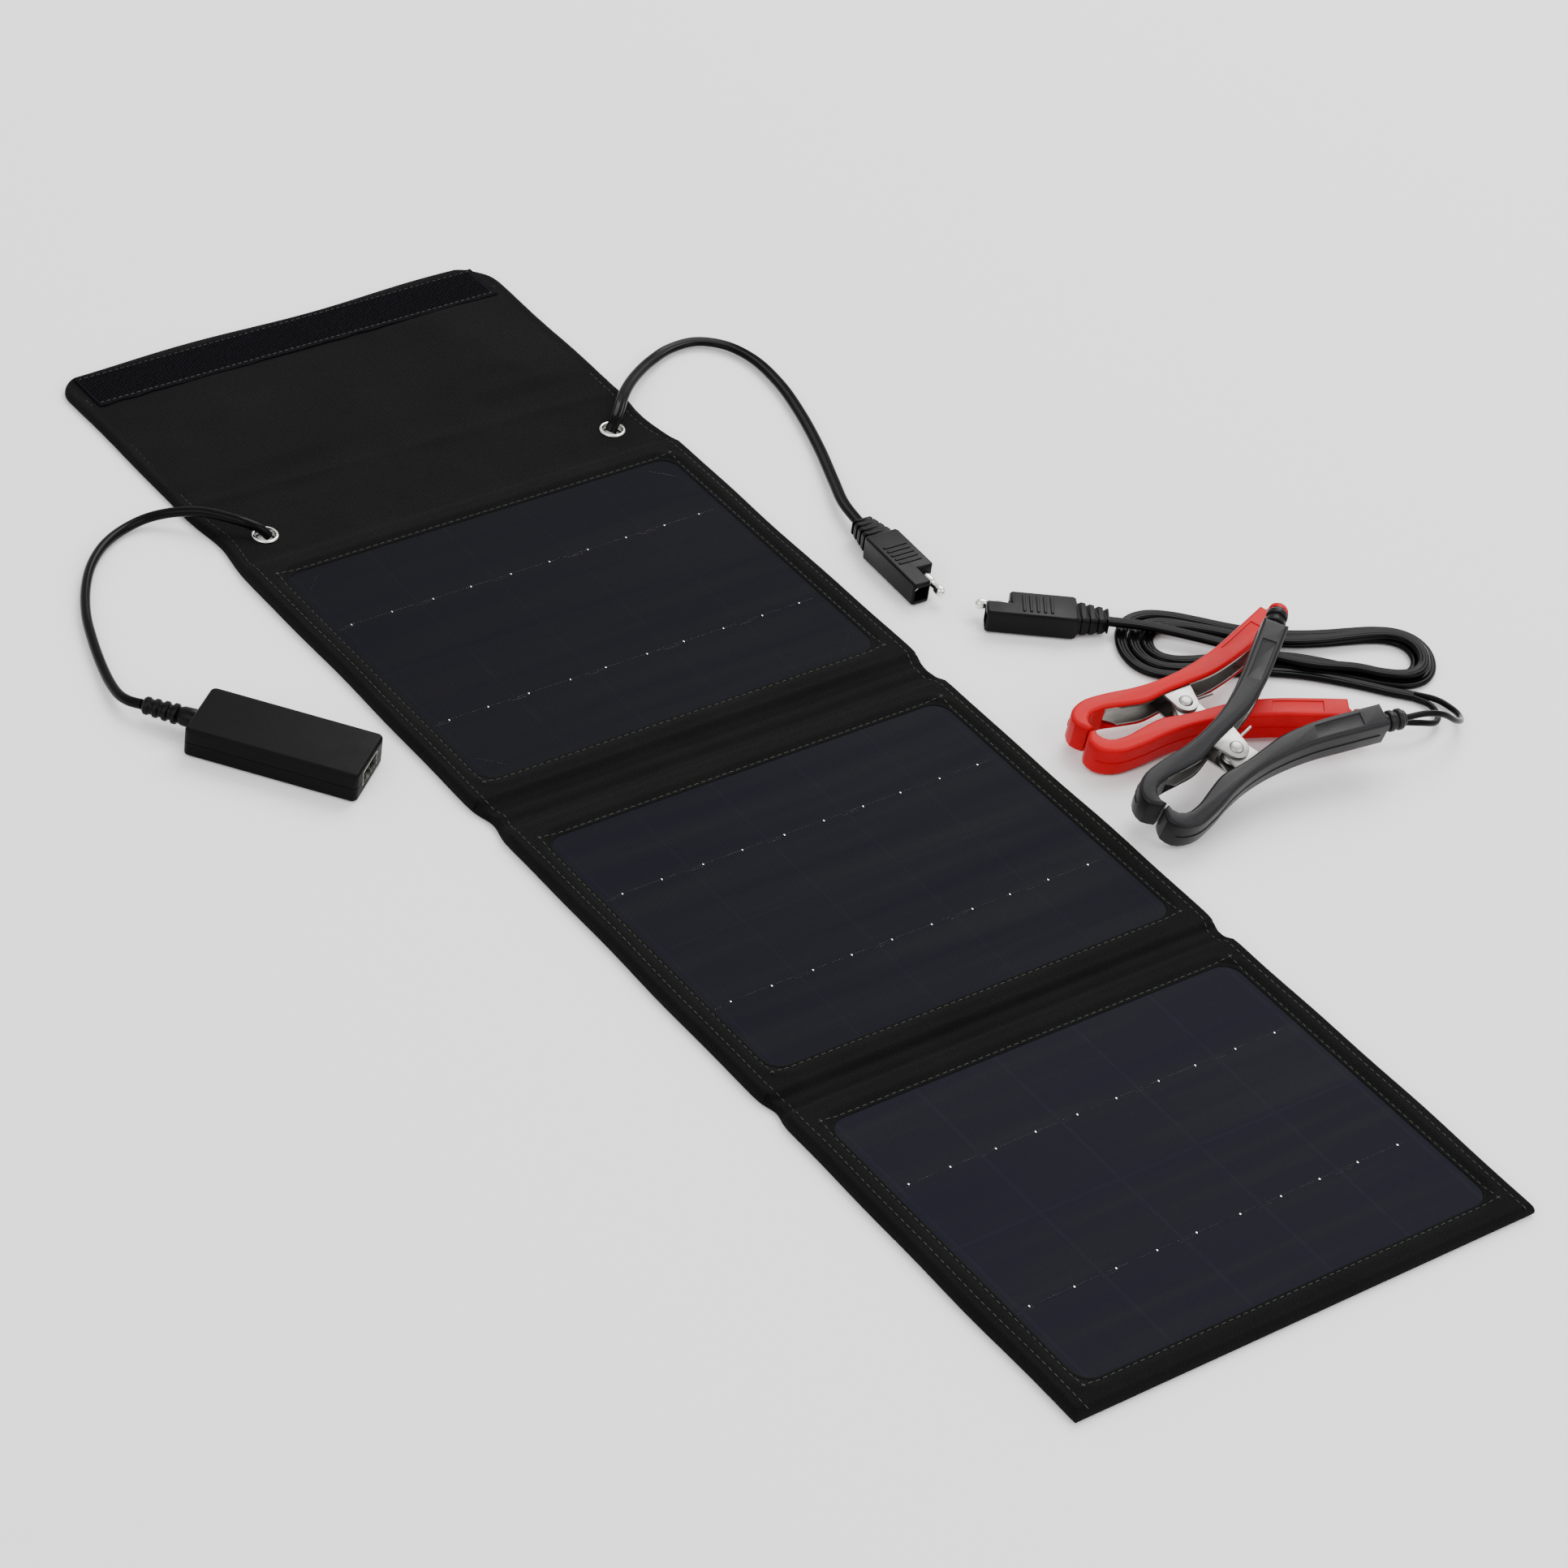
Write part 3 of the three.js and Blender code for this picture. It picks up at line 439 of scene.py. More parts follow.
# ---- Mesh helpers -------------------------------------------------------------------------------
def finished(mesh, name, paint, angle=35.0):
    """A piece at the origin, in metres, smooth but for its sharp edges."""
    mesh.transform(Matrix.Scale(MM, 4))
    mesh.shade_smooth()
    mesh.set_sharp_from_angle(angle=math.radians(angle))
    mesh.materials.clear()
    mesh.materials.append(PAINT[paint])
    piece = bpy.data.objects.new(name, mesh)
    mesh.name = name
    bpy.context.scene.collection.objects.link(piece)
    return piece


def mesh_from(points, faces):
    mesh = bpy.data.meshes.new("shape")
    mesh.from_pydata([tuple(p) for p in points], [], [tuple(f) for f in faces])
    return mesh


def outward(mesh):
    """Merges doubles and turns every face outwards."""
    shape = bmesh.new()
    shape.from_mesh(mesh)
    bmesh.ops.remove_doubles(shape, verts=shape.verts, dist=0.002)
    bmesh.ops.recalc_face_normals(shape, faces=shape.faces)
    shape.to_mesh(mesh)
    shape.free()
    return mesh


def joined(*meshes):
    shape = bmesh.new()
    for mesh in meshes:
        shape.from_mesh(mesh)
    whole = bpy.data.meshes.new("shape")
    shape.to_mesh(whole)
    shape.free()
    return whole


def moved(mesh, matrix):
    mesh.transform(matrix)
    return mesh


def evaluated(holder):
    graph = bpy.context.evaluated_depsgraph_get()
    mesh = bpy.data.meshes.new_from_object(holder.evaluated_get(graph))
    bpy.data.objects.remove(holder)
    return mesh


def holder_of(data):
    holder = bpy.data.objects.new("holder", data)
    bpy.context.scene.collection.objects.link(holder)
    return holder


def carved(mesh, *tools):
    """mesh with each tool cut away."""
    holder = holder_of(mesh)
    cutters = [holder_of(tool) for tool in tools]
    for cutter in cutters:
        modifier = holder.modifiers.new("cut", "BOOLEAN")
        modifier.operation = "DIFFERENCE"
        modifier.solver = "EXACT"
        modifier.object = cutter
    result = evaluated(holder)
    for cutter in cutters:
        bpy.data.objects.remove(cutter)
    return result


def plate(outlines, z0, z1, bevel=0.0, resolution=2):
    """A flat outline, with any holes in it, made solid with rounded edges."""
    curve = bpy.data.curves.new("outline", "CURVE")
    curve.dimensions = "2D"
    curve.fill_mode = "BOTH"
    curve.extrude = (z1 - z0) / 2 - bevel
    curve.bevel_depth = bevel
    curve.bevel_resolution = resolution
    curve.offset = -bevel
    for outline in outlines:
        spline = curve.splines.new("POLY")
        spline.points.add(len(outline) - 1)
        for point, (x, y) in zip(spline.points, outline):
            point.co = (x, y, 0, 1)
        spline.use_cyclic_u = True
    mesh = outward(evaluated(holder_of(curve)))
    return moved(mesh, Matrix.Translation((0, 0, (z0 + z1) / 2)))


def rectangle(x0, x1, y0, y1, radius=0.0, steps=6):
    """The outline of a rectangle with round corners."""
    if radius <= 0:
        return [(x0, y0), (x1, y0), (x1, y1), (x0, y1)]
    points = []
    centres = [(x1 - radius, y0 + radius, -90), (x1 - radius, y1 - radius, 0),
               (x0 + radius, y1 - radius, 90), (x0 + radius, y0 + radius, 180)]
    for cx, cy, start in centres:
        for i in range(steps + 1):
            angle = math.radians(start + 90 * i / steps)
            points.append((cx + radius * math.cos(angle), cy + radius * math.sin(angle)))
    return points


def block(x0, x1, y0, y1, z0, z1, bevel=0.0):
    return plate([rectangle(x0, x1, y0, y1)], z0, z1, bevel)


def turned(profile, segments=40):
    """A profile of (radius, height) turned about +Z; it starts and ends on the axis or closes on itself."""
    closed = profile[0] == profile[-1] and profile[0][0] > 0
    rows = profile[:-1] if closed else profile
    points, faces = [], []
    for radius, height in rows:
        for i in range(segments):
            angle = 2 * math.pi * i / segments
            points.append((radius * math.cos(angle), radius * math.sin(angle), height))
    count = len(rows)
    for r in range(count if closed else count - 1):
        s = (r + 1) % count
        for i in range(segments):
            j = (i + 1) % segments
            faces.append((r * segments + i, r * segments + j, s * segments + j, s * segments + i))
    return tidied(outward(mesh_from(points, faces)))


def tidied(mesh):
    """Removes faces that the merge has flattened to nothing."""
    shape = bmesh.new()
    shape.from_mesh(mesh)
    bmesh.ops.dissolve_degenerate(shape, dist=0.0005, edges=shape.edges)
    shape.to_mesh(mesh)
    shape.free()
    return mesh


LENGTHWISE = Matrix.Rotation(math.radians(90), 4, "Y")


def centripetal(points, step):
    """A smooth curve through points, as close-set points about one step apart."""
    given = [Vector(p) for p in points]
    given = [2 * given[0] - given[1]] + given + [2 * given[-1] - given[-2]]
    found = []
    for a, b, c, d in zip(given, given[1:], given[2:], given[3:]):
        t0 = 0.0
        t1 = t0 + (b - a).length ** 0.5
        t2 = t1 + (c - b).length ** 0.5
        t3 = t2 + (d - c).length ** 0.5
        count = max(2, round((c - b).length / step))
        for i in range(count):
            t = t1 + (t2 - t1) * i / count
            ab = a.lerp(b, (t - t0) / (t1 - t0))
            bc = b.lerp(c, (t - t1) / (t2 - t1))
            cd = c.lerp(d, (t - t2) / (t3 - t2))
            abc = ab.lerp(bc, (t - t0) / (t2 - t0))
            bcd = bc.lerp(cd, (t - t1) / (t3 - t1))
            found.append(abc.lerp(bcd, (t - t1) / (t2 - t1)))
    found.append(given[-2])
    return found


def swept(path, section):
    """A section of (sideways, upwards) points carried along a path, its sideways kept level."""
    points, faces = [], []
    count = len(section)
    side = Vector((1, 0, 0))
    for i, centre in enumerate(path):
        along = (path[min(i + 1, len(path) - 1)] - path[max(i - 1, 0)]).normalized()
        level = Vector((-along.y, along.x, 0))
        if level.length > 0.25:
            level.normalize()
            side = level if level.dot(side) >= 0 or i == 0 else level
        side = (side - along * side.dot(along)).normalized()
        up = along.cross(side)
        points += [centre + side * u + up * v for u, v in section]
    for i in range(len(path) - 1):
        for j in range(count):
            k = (j + 1) % count
            faces.append((i * count + j, i * count + k, (i + 1) * count + k, (i + 1) * count + j))
    faces.append(tuple(reversed(range(count))))
    last = (len(path) - 1) * count
    faces.append(tuple(last + j for j in range(count)))
    mesh = mesh_from(points, faces)
    return outward(mesh)


def round_section(radius, sides=14):
    return [(radius * math.cos(2 * math.pi * i / sides), radius * math.sin(2 * math.pi * i / sides))
            for i in range(sides)]


def twin_section(radius, sides=9):
    """Two round strands side by side, joined by a thin web."""
    points = []
    for centre, start in ((radius, -135), (-radius, 45)):
        for i in range(sides):
            angle = math.radians(start + 270 * i / (sides - 1))
            points.append((centre + radius * math.cos(angle), radius * math.sin(angle)))
    return points


def ring_shell(rings):
    """Closed loops of equal length, each joined to the next and the last to the first."""
    count = len(rings[0])
    points = np.concatenate(rings)
    faces = []
    for r in range(len(rings)):
        s = (r + 1) % len(rings)
        for i in range(count):
            j = (i + 1) % count
            faces.append((r * count + i, s * count + i, s * count + j, r * count + j))
    return outward(mesh_from(points, faces))


def grid_shell(top, bottom):
    """A sheet with a top and an under surface of equal grids, closed round its edge."""
    rows, columns = top.shape[:2]
    points = np.concatenate([top.reshape(-1, 3), bottom.reshape(-1, 3)])
    under = rows * columns
    faces = []
    for i in range(rows - 1):
        for j in range(columns - 1):
            a = i * columns + j
            faces.append((a, a + columns, a + columns + 1, a + 1))
            faces.append((under + a, under + a + 1, under + a + columns + 1, under + a + columns))
    border = list(range(columns)) + [i * columns + columns - 1 for i in range(1, rows)]
    border += [(rows - 1) * columns + j for j in range(columns - 2, -1, -1)]
    border += [i * columns for i in range(rows - 2, 0, -1)]
    for a, b in zip(border, border[1:] + border[:1]):
        faces.append((a, b, under + b, under + a))
    return outward(mesh_from(points, faces))


def rounded_step(t):
    t = np.clip(t, 0, 1)
    return t * t * (3 - 2 * t)


def ripple(x, y, size_x, size_y, seed):
    """Slow noise over the strip, between about -1 and 1."""
    flat_x, flat_y = np.broadcast_arrays(np.asarray(x, float), np.asarray(y, float))
    values = [noise.noise((a / size_x, b / size_y, seed)) for a, b in zip(flat_x.ravel(), flat_y.ravel())]
    return np.array(values).reshape(flat_x.shape)


# ---- Cloth --------------------------------------------------------------------------------------
EYELETS = {name: node_box(f"{name}_eyelet") for name in ("usb", "plug")}
EYELET_AT = {name: tuple((low + high)[:2] / 2) for name, (low, high) in EYELETS.items()}
NOTCHES = ((FOLD_12, 2.2, 6.5), (FOLD_23, 1.7, 5.0), (-194.0, 2.6, 13.0))
FLAP_CORNERS = (12.0, 17.0)  # at -Y and at +Y
EDGE_ROLL = 2.3
EDGE_SHARE = 0.045  # of the half width, with close-set points for the rolled edge
TAPE_BED = (-287.5, 91.5)  # the hook tape lies beyond this x and within this half width


def edge_half(x):
    """Half width of the cloth along the strip: it draws in at the spines and waves a little."""
    half = HALF_WIDTH - 0.25 - 0.25 * np.sin(x / 23.0) - 0.15 * np.sin(x / 9.0 + 1.0)
    for place, depth, width in NOTCHES:
        half = half - depth * np.exp(-((x - place) / width) ** 2)
    return half


def drawn_in(x, y):
    """y moved so that the cloth's straight edge follows edge_half, with the windows left alone."""
    window_half = WINDOWS[1][2] + 1.5
    share = np.clip((np.abs(y) - window_half) / (HALF_WIDTH - window_half), 0, 1)
    return np.sign(y) * (np.abs(y) - share * (HALF_WIDTH - edge_half(x)))


def window_distance(x, y):
    """Distance outside the nearest window's rounded rectangle."""
    best = np.full(np.broadcast(x, y).shape, 1e6)
    for x0, x1, half in WINDOWS.values():
        dx = np.abs(x - (x0 + x1) / 2) - ((x1 - x0) / 2 - WINDOW_RADIUS)
        dy = np.abs(y) - (half - WINDOW_RADIUS)
        outside = np.hypot(np.maximum(dx, 0), np.maximum(dy, 0))
        best = np.minimum(best, outside + np.minimum(np.maximum(dx, dy), 0) - WINDOW_RADIUS)
    return best


def on_panel(x):
    """1 over a stiff panel, 0 in the soft spines and the flap."""
    share = np.zeros_like(np.asarray(x, float))
    for low, high in PANEL_EDGES.values():
        rise = rounded_step((x - low + 2.6) / 4.0) * rounded_step((high + 2.6 - x) / 4.0)
        share = np.maximum(share, rise)
    return share


def cloth_height(x, y):
    """Height of the front cloth's upper surface."""
    d = np.maximum(window_distance(x, y), 0)
    # A stiff panel: the lip round the window, the groove of its stitches and the rim beyond.
    lip = 3.62 + 0.25 * rounded_step(d / 0.5) + 0.75 * rounded_step((d - 1.5) / 2.6)
    stitched = lip - 0.16 * np.exp(-((d - 1.3) / 0.35) ** 2)
    panel = stitched - 0.22 * rounded_step((d - 4.5) / 3.0)
    # The soft cloth: two grooves and a ridge at each fold, slow waves and creases.
    soft = SOFT_TOP
    for fold in (FOLD_12, FOLD_23):
        for side in (-1, 1):
            soft = soft - 0.45 * np.exp(-((x - fold - 3.4 * side) / 1.1) ** 2)
        soft = soft + 0.35 * np.exp(-((x - fold) / 1.6) ** 2)
    soft = soft + 0.35 * ripple(x, y, 34, 60, 2.0) + 0.2 * ripple(x, y, 11, 16, 5.0)
    crease = np.exp(-((x + 216 - 0.03 * y) / 2.6) ** 2) + 0.8 * np.exp(-((x + 177.5 + 0.02 * y) / 2.2) ** 2)
    soft = soft + 0.35 * crease * (1 + 0.6 * ripple(x, y, 30, 22, 9.0))
    share = on_panel(x)
    height = soft + (panel - soft) * share
    edge = drawn_edge_distance(x, y)
    hem = 0.2 * np.exp(-((edge - 1.9) / 1.3) ** 2) - 0.1 * np.exp(-((edge - 4.6) / 0.7) ** 2)
    height = height + hem * (1 - 0.6 * share)
    height = height + 0.1 * rounded_step((d - 2) / 4) * ripple(x, y, 26, 26, 7.0)
    for place in EYELET_AT.values():
        near = np.hypot(x - place[0], y - place[1])
        height = height + (PRESSED - height) * rounded_step((11 - near) / 5.0)
    return height


def drawn_edge_distance(x, y):
    """Distance in from the cloth's long edges and, on the flap, from its closing end."""
    edge = edge_half(x) - np.abs(y)
    return np.minimum(edge, x - FLAP_END)


def rolled(edge, height, floor):
    """height brought down to floor in a round roll at the very edge."""
    share = np.clip(edge / EDGE_ROLL, 0, 1)
    return floor + (height - floor) * np.sqrt(np.clip(1 - (1 - share) ** 2, 0, 1))


def panel_stations(number, x0, x1):
    """Matching points round a window and round the cloth's outline."""
    wx0, wx1, wy = WINDOWS[number]
    r = WINDOW_RADIUS
    inner, outer = [], []
    ys = np.linspace(-(wy - r), wy - r, 61)
    xs = np.linspace(wx0 + r, wx1 - r, 47)

    def corner(cx, cy, start, edge_from, corner_at, edge_to):
        for i in range(1, 16):
            angle = math.radians(start + 90 * i / 16)
            inner.append((cx + r * math.cos(angle), cy + r * math.sin(angle)))
            a, b = (edge_from, corner_at) if i <= 8 else (corner_at, edge_to)
            t = i / 8 if i <= 8 else i / 8 - 1
            outer.append((a[0] + (b[0] - a[0]) * t, a[1] + (b[1] - a[1]) * t))

    h = HALF_WIDTH
    inner += [(wx1, y) for y in ys]
    outer += [(x1, y) for y in ys]
    corner(wx1 - r, wy - r, 0, (x1, wy - r), (x1, h), (wx1 - r, h))
    inner += [(x, wy) for x in xs[::-1]]
    outer += [(x, h) for x in xs[::-1]]
    corner(wx0 + r, wy - r, 90, (wx0 + r, h), (x0, h), (x0, wy - r))
    inner += [(wx0, y) for y in ys[::-1]]
    outer += [(x0, y) for y in ys[::-1]]
    corner(wx0 + r, -(wy - r), 180, (x0, -(wy - r)), (x0, -h), (wx0 + r, -h))
    inner += [(x, -wy) for x in xs]
    outer += [(x, -h) for x in xs]
    corner(wx1 - r, -(wy - r), 270, (wx1 - r, -h), (x1, -h), (x1, -(wy - r)))
    return np.array(inner), np.array(outer)


NEAR_WINDOW = np.array([0, 0.25, 0.55, 0.95, 1.3, 1.65, 2.1, 2.8, 3.6, 4.6, 5.6, 6.4, 7.4])
TOWARDS_EDGE = 24


def panel_front(number, x0, x1):
    """The framed front cloth of one panel, out to x0 and x1."""
    inner, outer = panel_stations(number, x0, x1)
    length = np.linalg.norm(outer - inner, axis=1)
    last = min(NEAR_WINDOW[-1], length.min() - 1.8)
    steps = [d * last / NEAR_WINDOW[-1] for d in NEAR_WINDOW]
    rings_top, rings_under = [], []
    fractions = [None] * len(steps) + list(np.linspace(0, 1, TOWARDS_EDGE + 1)[1:])
    for k, fraction in enumerate(fractions):
        if fraction is None:
            reach = np.full(len(length), steps[k])
        else:
            reach = steps[-1] + (length - steps[-1]) * (1 - (1 - fraction) ** 1.35)
        flat = inner + (outer - inner) * (reach / length)[:, None]
        x = flat[:, 0]
        y = drawn_in(x, flat[:, 1])
        edge = drawn_edge_distance(x, y)
        if x1 >= STRIP_END - 0.01:
            edge = np.minimum(edge, STRIP_END - x)
        d = window_distance(x, y)
        top = rolled(edge, cloth_height(x, y), EDGE_FOOT)
        under = np.where(d < LEDGE + 0.3, SHEET_TOP + 0.03, BACK_TOP + 0.06)
        under = np.minimum(under, top - 0.02)
        rings_top.append(np.column_stack([x, y, top]))
        rings_under.append(np.column_stack([x, y, under]))
    return ring_shell(rings_top + rings_under[::-1])


def eyelet_cutters(radius, z0, z1):
    return [moved(turned([(0, z0), (radius, z0), (radius, z1), (0, z1)], 32),
                  Matrix.Translation((*place, 0))) for place in EYELET_AT.values()]


def flap_half(x, side):
    """Half width of the flap on one side, with the closing corners rounded."""
    corner = np.where(side > 0, FLAP_CORNERS[1], FLAP_CORNERS[0])
    into = np.clip(corner - (x - FLAP_END), 0, corner)
    return edge_half(x) - (corner - np.sqrt(corner ** 2 - into ** 2))


def flap_grid():
    lead = FLAP_END + FLAP_CORNERS[1] * (1 - np.cos(np.linspace(0, math.pi / 2, 19)))
    xs = np.concatenate([lead, np.linspace(FLAP_END + FLAP_CORNERS[1], SEAM_FLAP, 64)[1:]])
    inner = np.linspace(EDGE_SHARE - 1, 1 - EDGE_SHARE, 93)
    roll = 1 - EDGE_SHARE * (1 - np.sin(np.linspace(0, math.pi / 2, 9)[1:]))
    share = np.concatenate([-roll[::-1], inner, roll])
    x, share = np.meshgrid(xs, share, indexing="ij")
    wave = 0.9 * np.sin(share * 5.0 + 0.6) * np.clip((SEAM_FLAP - 60 - x) / 40, 0, 1)
    return x, share * flap_half(x, share), wave


def flap_edge_distance(x, y):
    return np.minimum(flap_half(x, y) - np.abs(y), x - FLAP_END)


def flap_front():
    x, y, wave = flap_grid()
    height = cloth_height(x, y)
    inside = rounded_step((-224 - x) / 10) * rounded_step((x + 300) / 12)
    dome = np.exp(-((y - 62) / 26) ** 2) + 0.5 * np.exp(-((y + 40) / 40) ** 2)
    height = height + inside * (1.3 * dome + 0.5 * ripple(x, y, 40, 34, 12.0))
    tape = rounded_step((TAPE_BED[1] - np.abs(y)) / 2.5) * rounded_step((TAPE_BED[0] - x) / 2.5)
    height = height + (PRESSED - height) * tape
    edge = flap_edge_distance(x, y)
    top = rolled(edge, height, EDGE_FOOT)
    under = np.full_like(top, BACK_TOP + 0.06)
    x = x + wave
    return grid_shell(np.stack([x, y, top], -1), np.stack([x, y, np.minimum(under, top - 0.02)], -1))


def back_sheet(x0, x1, flap=False):
    """The plain back cloth between two cuts."""
    if flap:
        x, y, wave = flap_grid()
        edge = flap_edge_distance(x, y)
        x_out = x + wave
    else:
        coarse = np.linspace(x0, x1, int((x1 - x0) / 2.2))
        fine = [np.arange(start - 1, end + 1, 0.45) for start, end in (BEND_12, BEND_23)]
        xs = np.unique(np.round(np.concatenate([coarse, *fine]), 2))
        xs = xs[(xs > x0 + 0.05) & (xs < x1 - 0.05)]
        xs = np.concatenate([[x0], xs, [x1]])
        roll = 1 - EDGE_SHARE * (1 - np.sin(np.linspace(0.2, math.pi / 2, 7)))
        share = np.concatenate([-roll[::-1], np.linspace(-0.95, 0.95, 77), roll])
        x, share = np.meshgrid(xs, share, indexing="ij")
        y = share * edge_half(x)
        edge = edge_half(x) - np.abs(y)
        if x1 >= STRIP_END - 0.01:
            edge = np.minimum(edge, STRIP_END - x)
        x_out = x
    roll = np.clip(edge / 1.3, 0, 1)
    under = 0.55 * (1 - np.sqrt(np.clip(1 - (1 - roll) ** 2, 0, 1)))
    quilt = 0.12 * (1 + ripple(x, y, 30, 40, 20.0)) * rounded_step((edge - 1) / 4)
    loops = rounded_step(LOOP_HIGH[1] + 1 - np.abs(y)) * rounded_step(x - LOOP_LOW[0] + 1) \
        * rounded_step(LOOP_HIGH[0] + 1 - x)
    under = under + quilt * (1 - loops) + 0.55 * loops
    top = np.full_like(under, BACK_TOP + 0.02)
    return grid_shell(np.stack([x_out, y, top], -1), np.stack([x_out, y, under], -1))


# ---- Repeated things, by geometry nodes ---------------------------------------------------------
def socket_id(tree, name):
    return next(item.identifier for item in tree.interface.items_tree
                if item.item_type == "SOCKET" and item.name == name)


def repeating_tree(name, build):
    tree = bpy.data.node_groups.new(name, "GeometryNodeTree")
    tree.interface.new_socket("Geometry", in_out="INPUT", socket_type="NodeSocketGeometry")
    tree.interface.new_socket("Pitch", in_out="INPUT", socket_type="NodeSocketFloat").default_value = 1.0
    tree.interface.new_socket("Material", in_out="INPUT", socket_type="NodeSocketMaterial")
    for label in ("Length", "Width", "Height"):
        tree.interface.new_socket(label, in_out="INPUT", socket_type="NodeSocketFloat").default_value = 1.0
    tree.interface.new_socket("Geometry", in_out="OUTPUT", socket_type="NodeSocketGeometry")
    nodes = Nodes(tree)
    start = nodes.add("NodeGroupInput")
    points, rotation = build(nodes, start)
    grain = nodes.add("GeometryNodeMeshIcoSphere", {"Radius": 0.5, "Subdivisions": 1})
    size = nodes.add("ShaderNodeCombineXYZ", {
        0: start.outputs["Length"], 1: start.outputs["Width"], 2: start.outputs["Height"]})
    inputs = {"Points": points, "Instance": grain.outputs["Mesh"], "Scale": size.outputs[0]}
    if rotation:
        inputs["Rotation"] = rotation
    placed = nodes.add("GeometryNodeInstanceOnPoints", inputs)
    real = nodes.add("GeometryNodeRealizeInstances", {"Geometry": placed.outputs[0]})
    painted = nodes.add("GeometryNodeSetMaterial", {
        "Geometry": real.outputs[0], "Material": start.outputs["Material"]})
    end = nodes.add("NodeGroupOutput")
    tree.links.new(painted.outputs[0], end.inputs[0])
    return tree


def along_path(nodes, start):
    """One grain every pitch along each edge path, turned to follow it."""
    curve = nodes.add("GeometryNodeMeshToCurve", {"Mesh": start.outputs["Geometry"]})
    spaced = nodes.add("GeometryNodeResampleCurve", {
        "Curve": curve.outputs[0], "Length": start.outputs["Pitch"]}, mode="LENGTH")
    points = nodes.add("GeometryNodeCurveToPoints", {"Curve": spaced.outputs[0]}, mode="EVALUATED")
    along = nodes.add("FunctionNodeRotateRotation", {"Rotation": points.outputs["Rotation"]},
                      rotation_space="LOCAL")
    along.inputs["Rotate By"].default_value = (0, math.radians(-90), 0)
    return points.outputs["Points"], along.outputs[0]


def on_given_points(nodes, start):
    points = nodes.add("GeometryNodeMeshToPoints", {"Mesh": start.outputs["Geometry"]})
    return points.outputs[0], None


TREES = {}


def repeated(kind, points, edges, pitch, size, paint):
    """A mesh of grains along paths or on points; size is length, width and height."""
    if kind not in TREES:
        TREES[kind] = repeating_tree(kind, {"along": along_path, "points": on_given_points}[kind])
    tree = TREES[kind]
    mesh = bpy.data.meshes.new("path")
    mesh.from_pydata([tuple(p) for p in points], edges, [])
    holder = holder_of(mesh)
    modifier = holder.modifiers.new("repeat", "NODES")
    modifier.node_group = tree
    modifier[socket_id(tree, "Pitch")] = pitch
    modifier[socket_id(tree, "Material")] = PAINT[paint]
    for label, value in zip(("Length", "Width", "Height"), size):
        modifier[socket_id(tree, label)] = value
    return evaluated(holder)


def path_edges(paths):
    """Points and edges of several open paths."""
    points, edges = [], []
    for path in paths:
        base = len(points)
        points += list(path)
        edges += [(base + i, base + i + 1) for i in range(len(path) - 1)]
    return points, edges


def on_cloth(xy, lift=0.06, flap=False):
    x, y = np.array(xy).T
    height = rolled(flap_edge_distance(x, y) if flap else drawn_edge_distance(x, y),
                    cloth_height(x, y), EDGE_FOOT)
    return list(np.column_stack([x, y, height + lift]))


def run(x0, y0, x1, y1, step=1.5):
    count = max(2, int(math.hypot(x1 - x0, y1 - y0) / step))
    return [(x0 + (x1 - x0) * i / count, y0 + (y1 - y0) * i / count) for i in range(count + 1)]


def window_seams(number, off=1.3):
    x0, x1, half = WINDOWS[number]
    x0, x1, half = x0 - off, x1 + off, half + off
    return [run(x0, -half, x1, -half), run(x0, half, x1, half), run(x0, -half, x0, half),
            run(x1, -half, x1, half)]


def hem_seams(x0, x1, off=4.6):
    xs = np.arange(x0, x1, 1.5)
    return [[(x, side * (edge_half(x) - off)) for x in xs] for side in (-1, 1)]


def stitches(paths, flap=False, width=0.34, pitch=None):
    pitch = pitch or settings("cloth").stitch_pitch
    points, edges = path_edges([on_cloth(path, flap=flap) for path in paths])
    return repeated("along", points, edges, pitch, (pitch * 0.78, width, width * 0.8), "thread")


# ---- Panels -------------------------------------------------------------------------------------
FLAP_BEND = ("panel_1", "flap", BEND_FLAP)
BEND_TO_2 = ("panel_1", "panel_2", BEND_12)
BEND_TO_3 = ("panel_2", "panel_3", BEND_23)


def fitted(mesh, name, paint, slot, nodes=(), body=None, bend=None, angle=35.0):
    """A finished piece in place of its solids, on its body, or, when given a bend, left unbent where it
    stands with its transform baked; the slot is not used.
    """
    piece = finished(mesh, name, paint, angle)
    if bend:
        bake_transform(piece)
    else:
        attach(piece, body)
    if nodes:
        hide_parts(*nodes)
    return piece


def sew(section, front, back, thread, **held):
    """One section's front cloth, back cloth and stitches; each is made just before it is fitted."""
    for side, cut in (("front", front), ("back", back)):
        fitted(cut(), f"{section}_{side}_cloth", "cloth", "fabric", [f"{section}_{side}_cover"], **held)
    fitted(thread(), f"{section}_stitches", "thread", "fabric", **held)


def make_panel(number, x0, x1, **held):
    def pierced(cloth):
        return carved(cloth, *eyelet_cutters(EYELET_CUT, -2, 9)) if number == 1 else cloth

    sew(f"panel_{number}", lambda: pierced(panel_front(number, x0, x1)),
        lambda: pierced(back_sheet(x0, x1)),
        lambda: stitches(window_seams(number) + hem_seams(x0 + 1, x1 - 1)), **held)


def make_panel_1():
    make_panel(1, SEAM_FLAP, SEAM_12, body="panel_1")


def make_panel_2():
    make_panel(2, SEAM_12, SEAM_23, bend=BEND_TO_2)


def make_panel_3():
    make_panel(3, SEAM_23, STRIP_END, bend=BEND_TO_3)


def make_flap():
    sew("flap", flap_front, lambda: back_sheet(0, 0, flap=True),
        lambda: stitches(hem_seams(FLAP_END + 18, SEAM_FLAP - 1), flap=True), bend=FLAP_BEND)


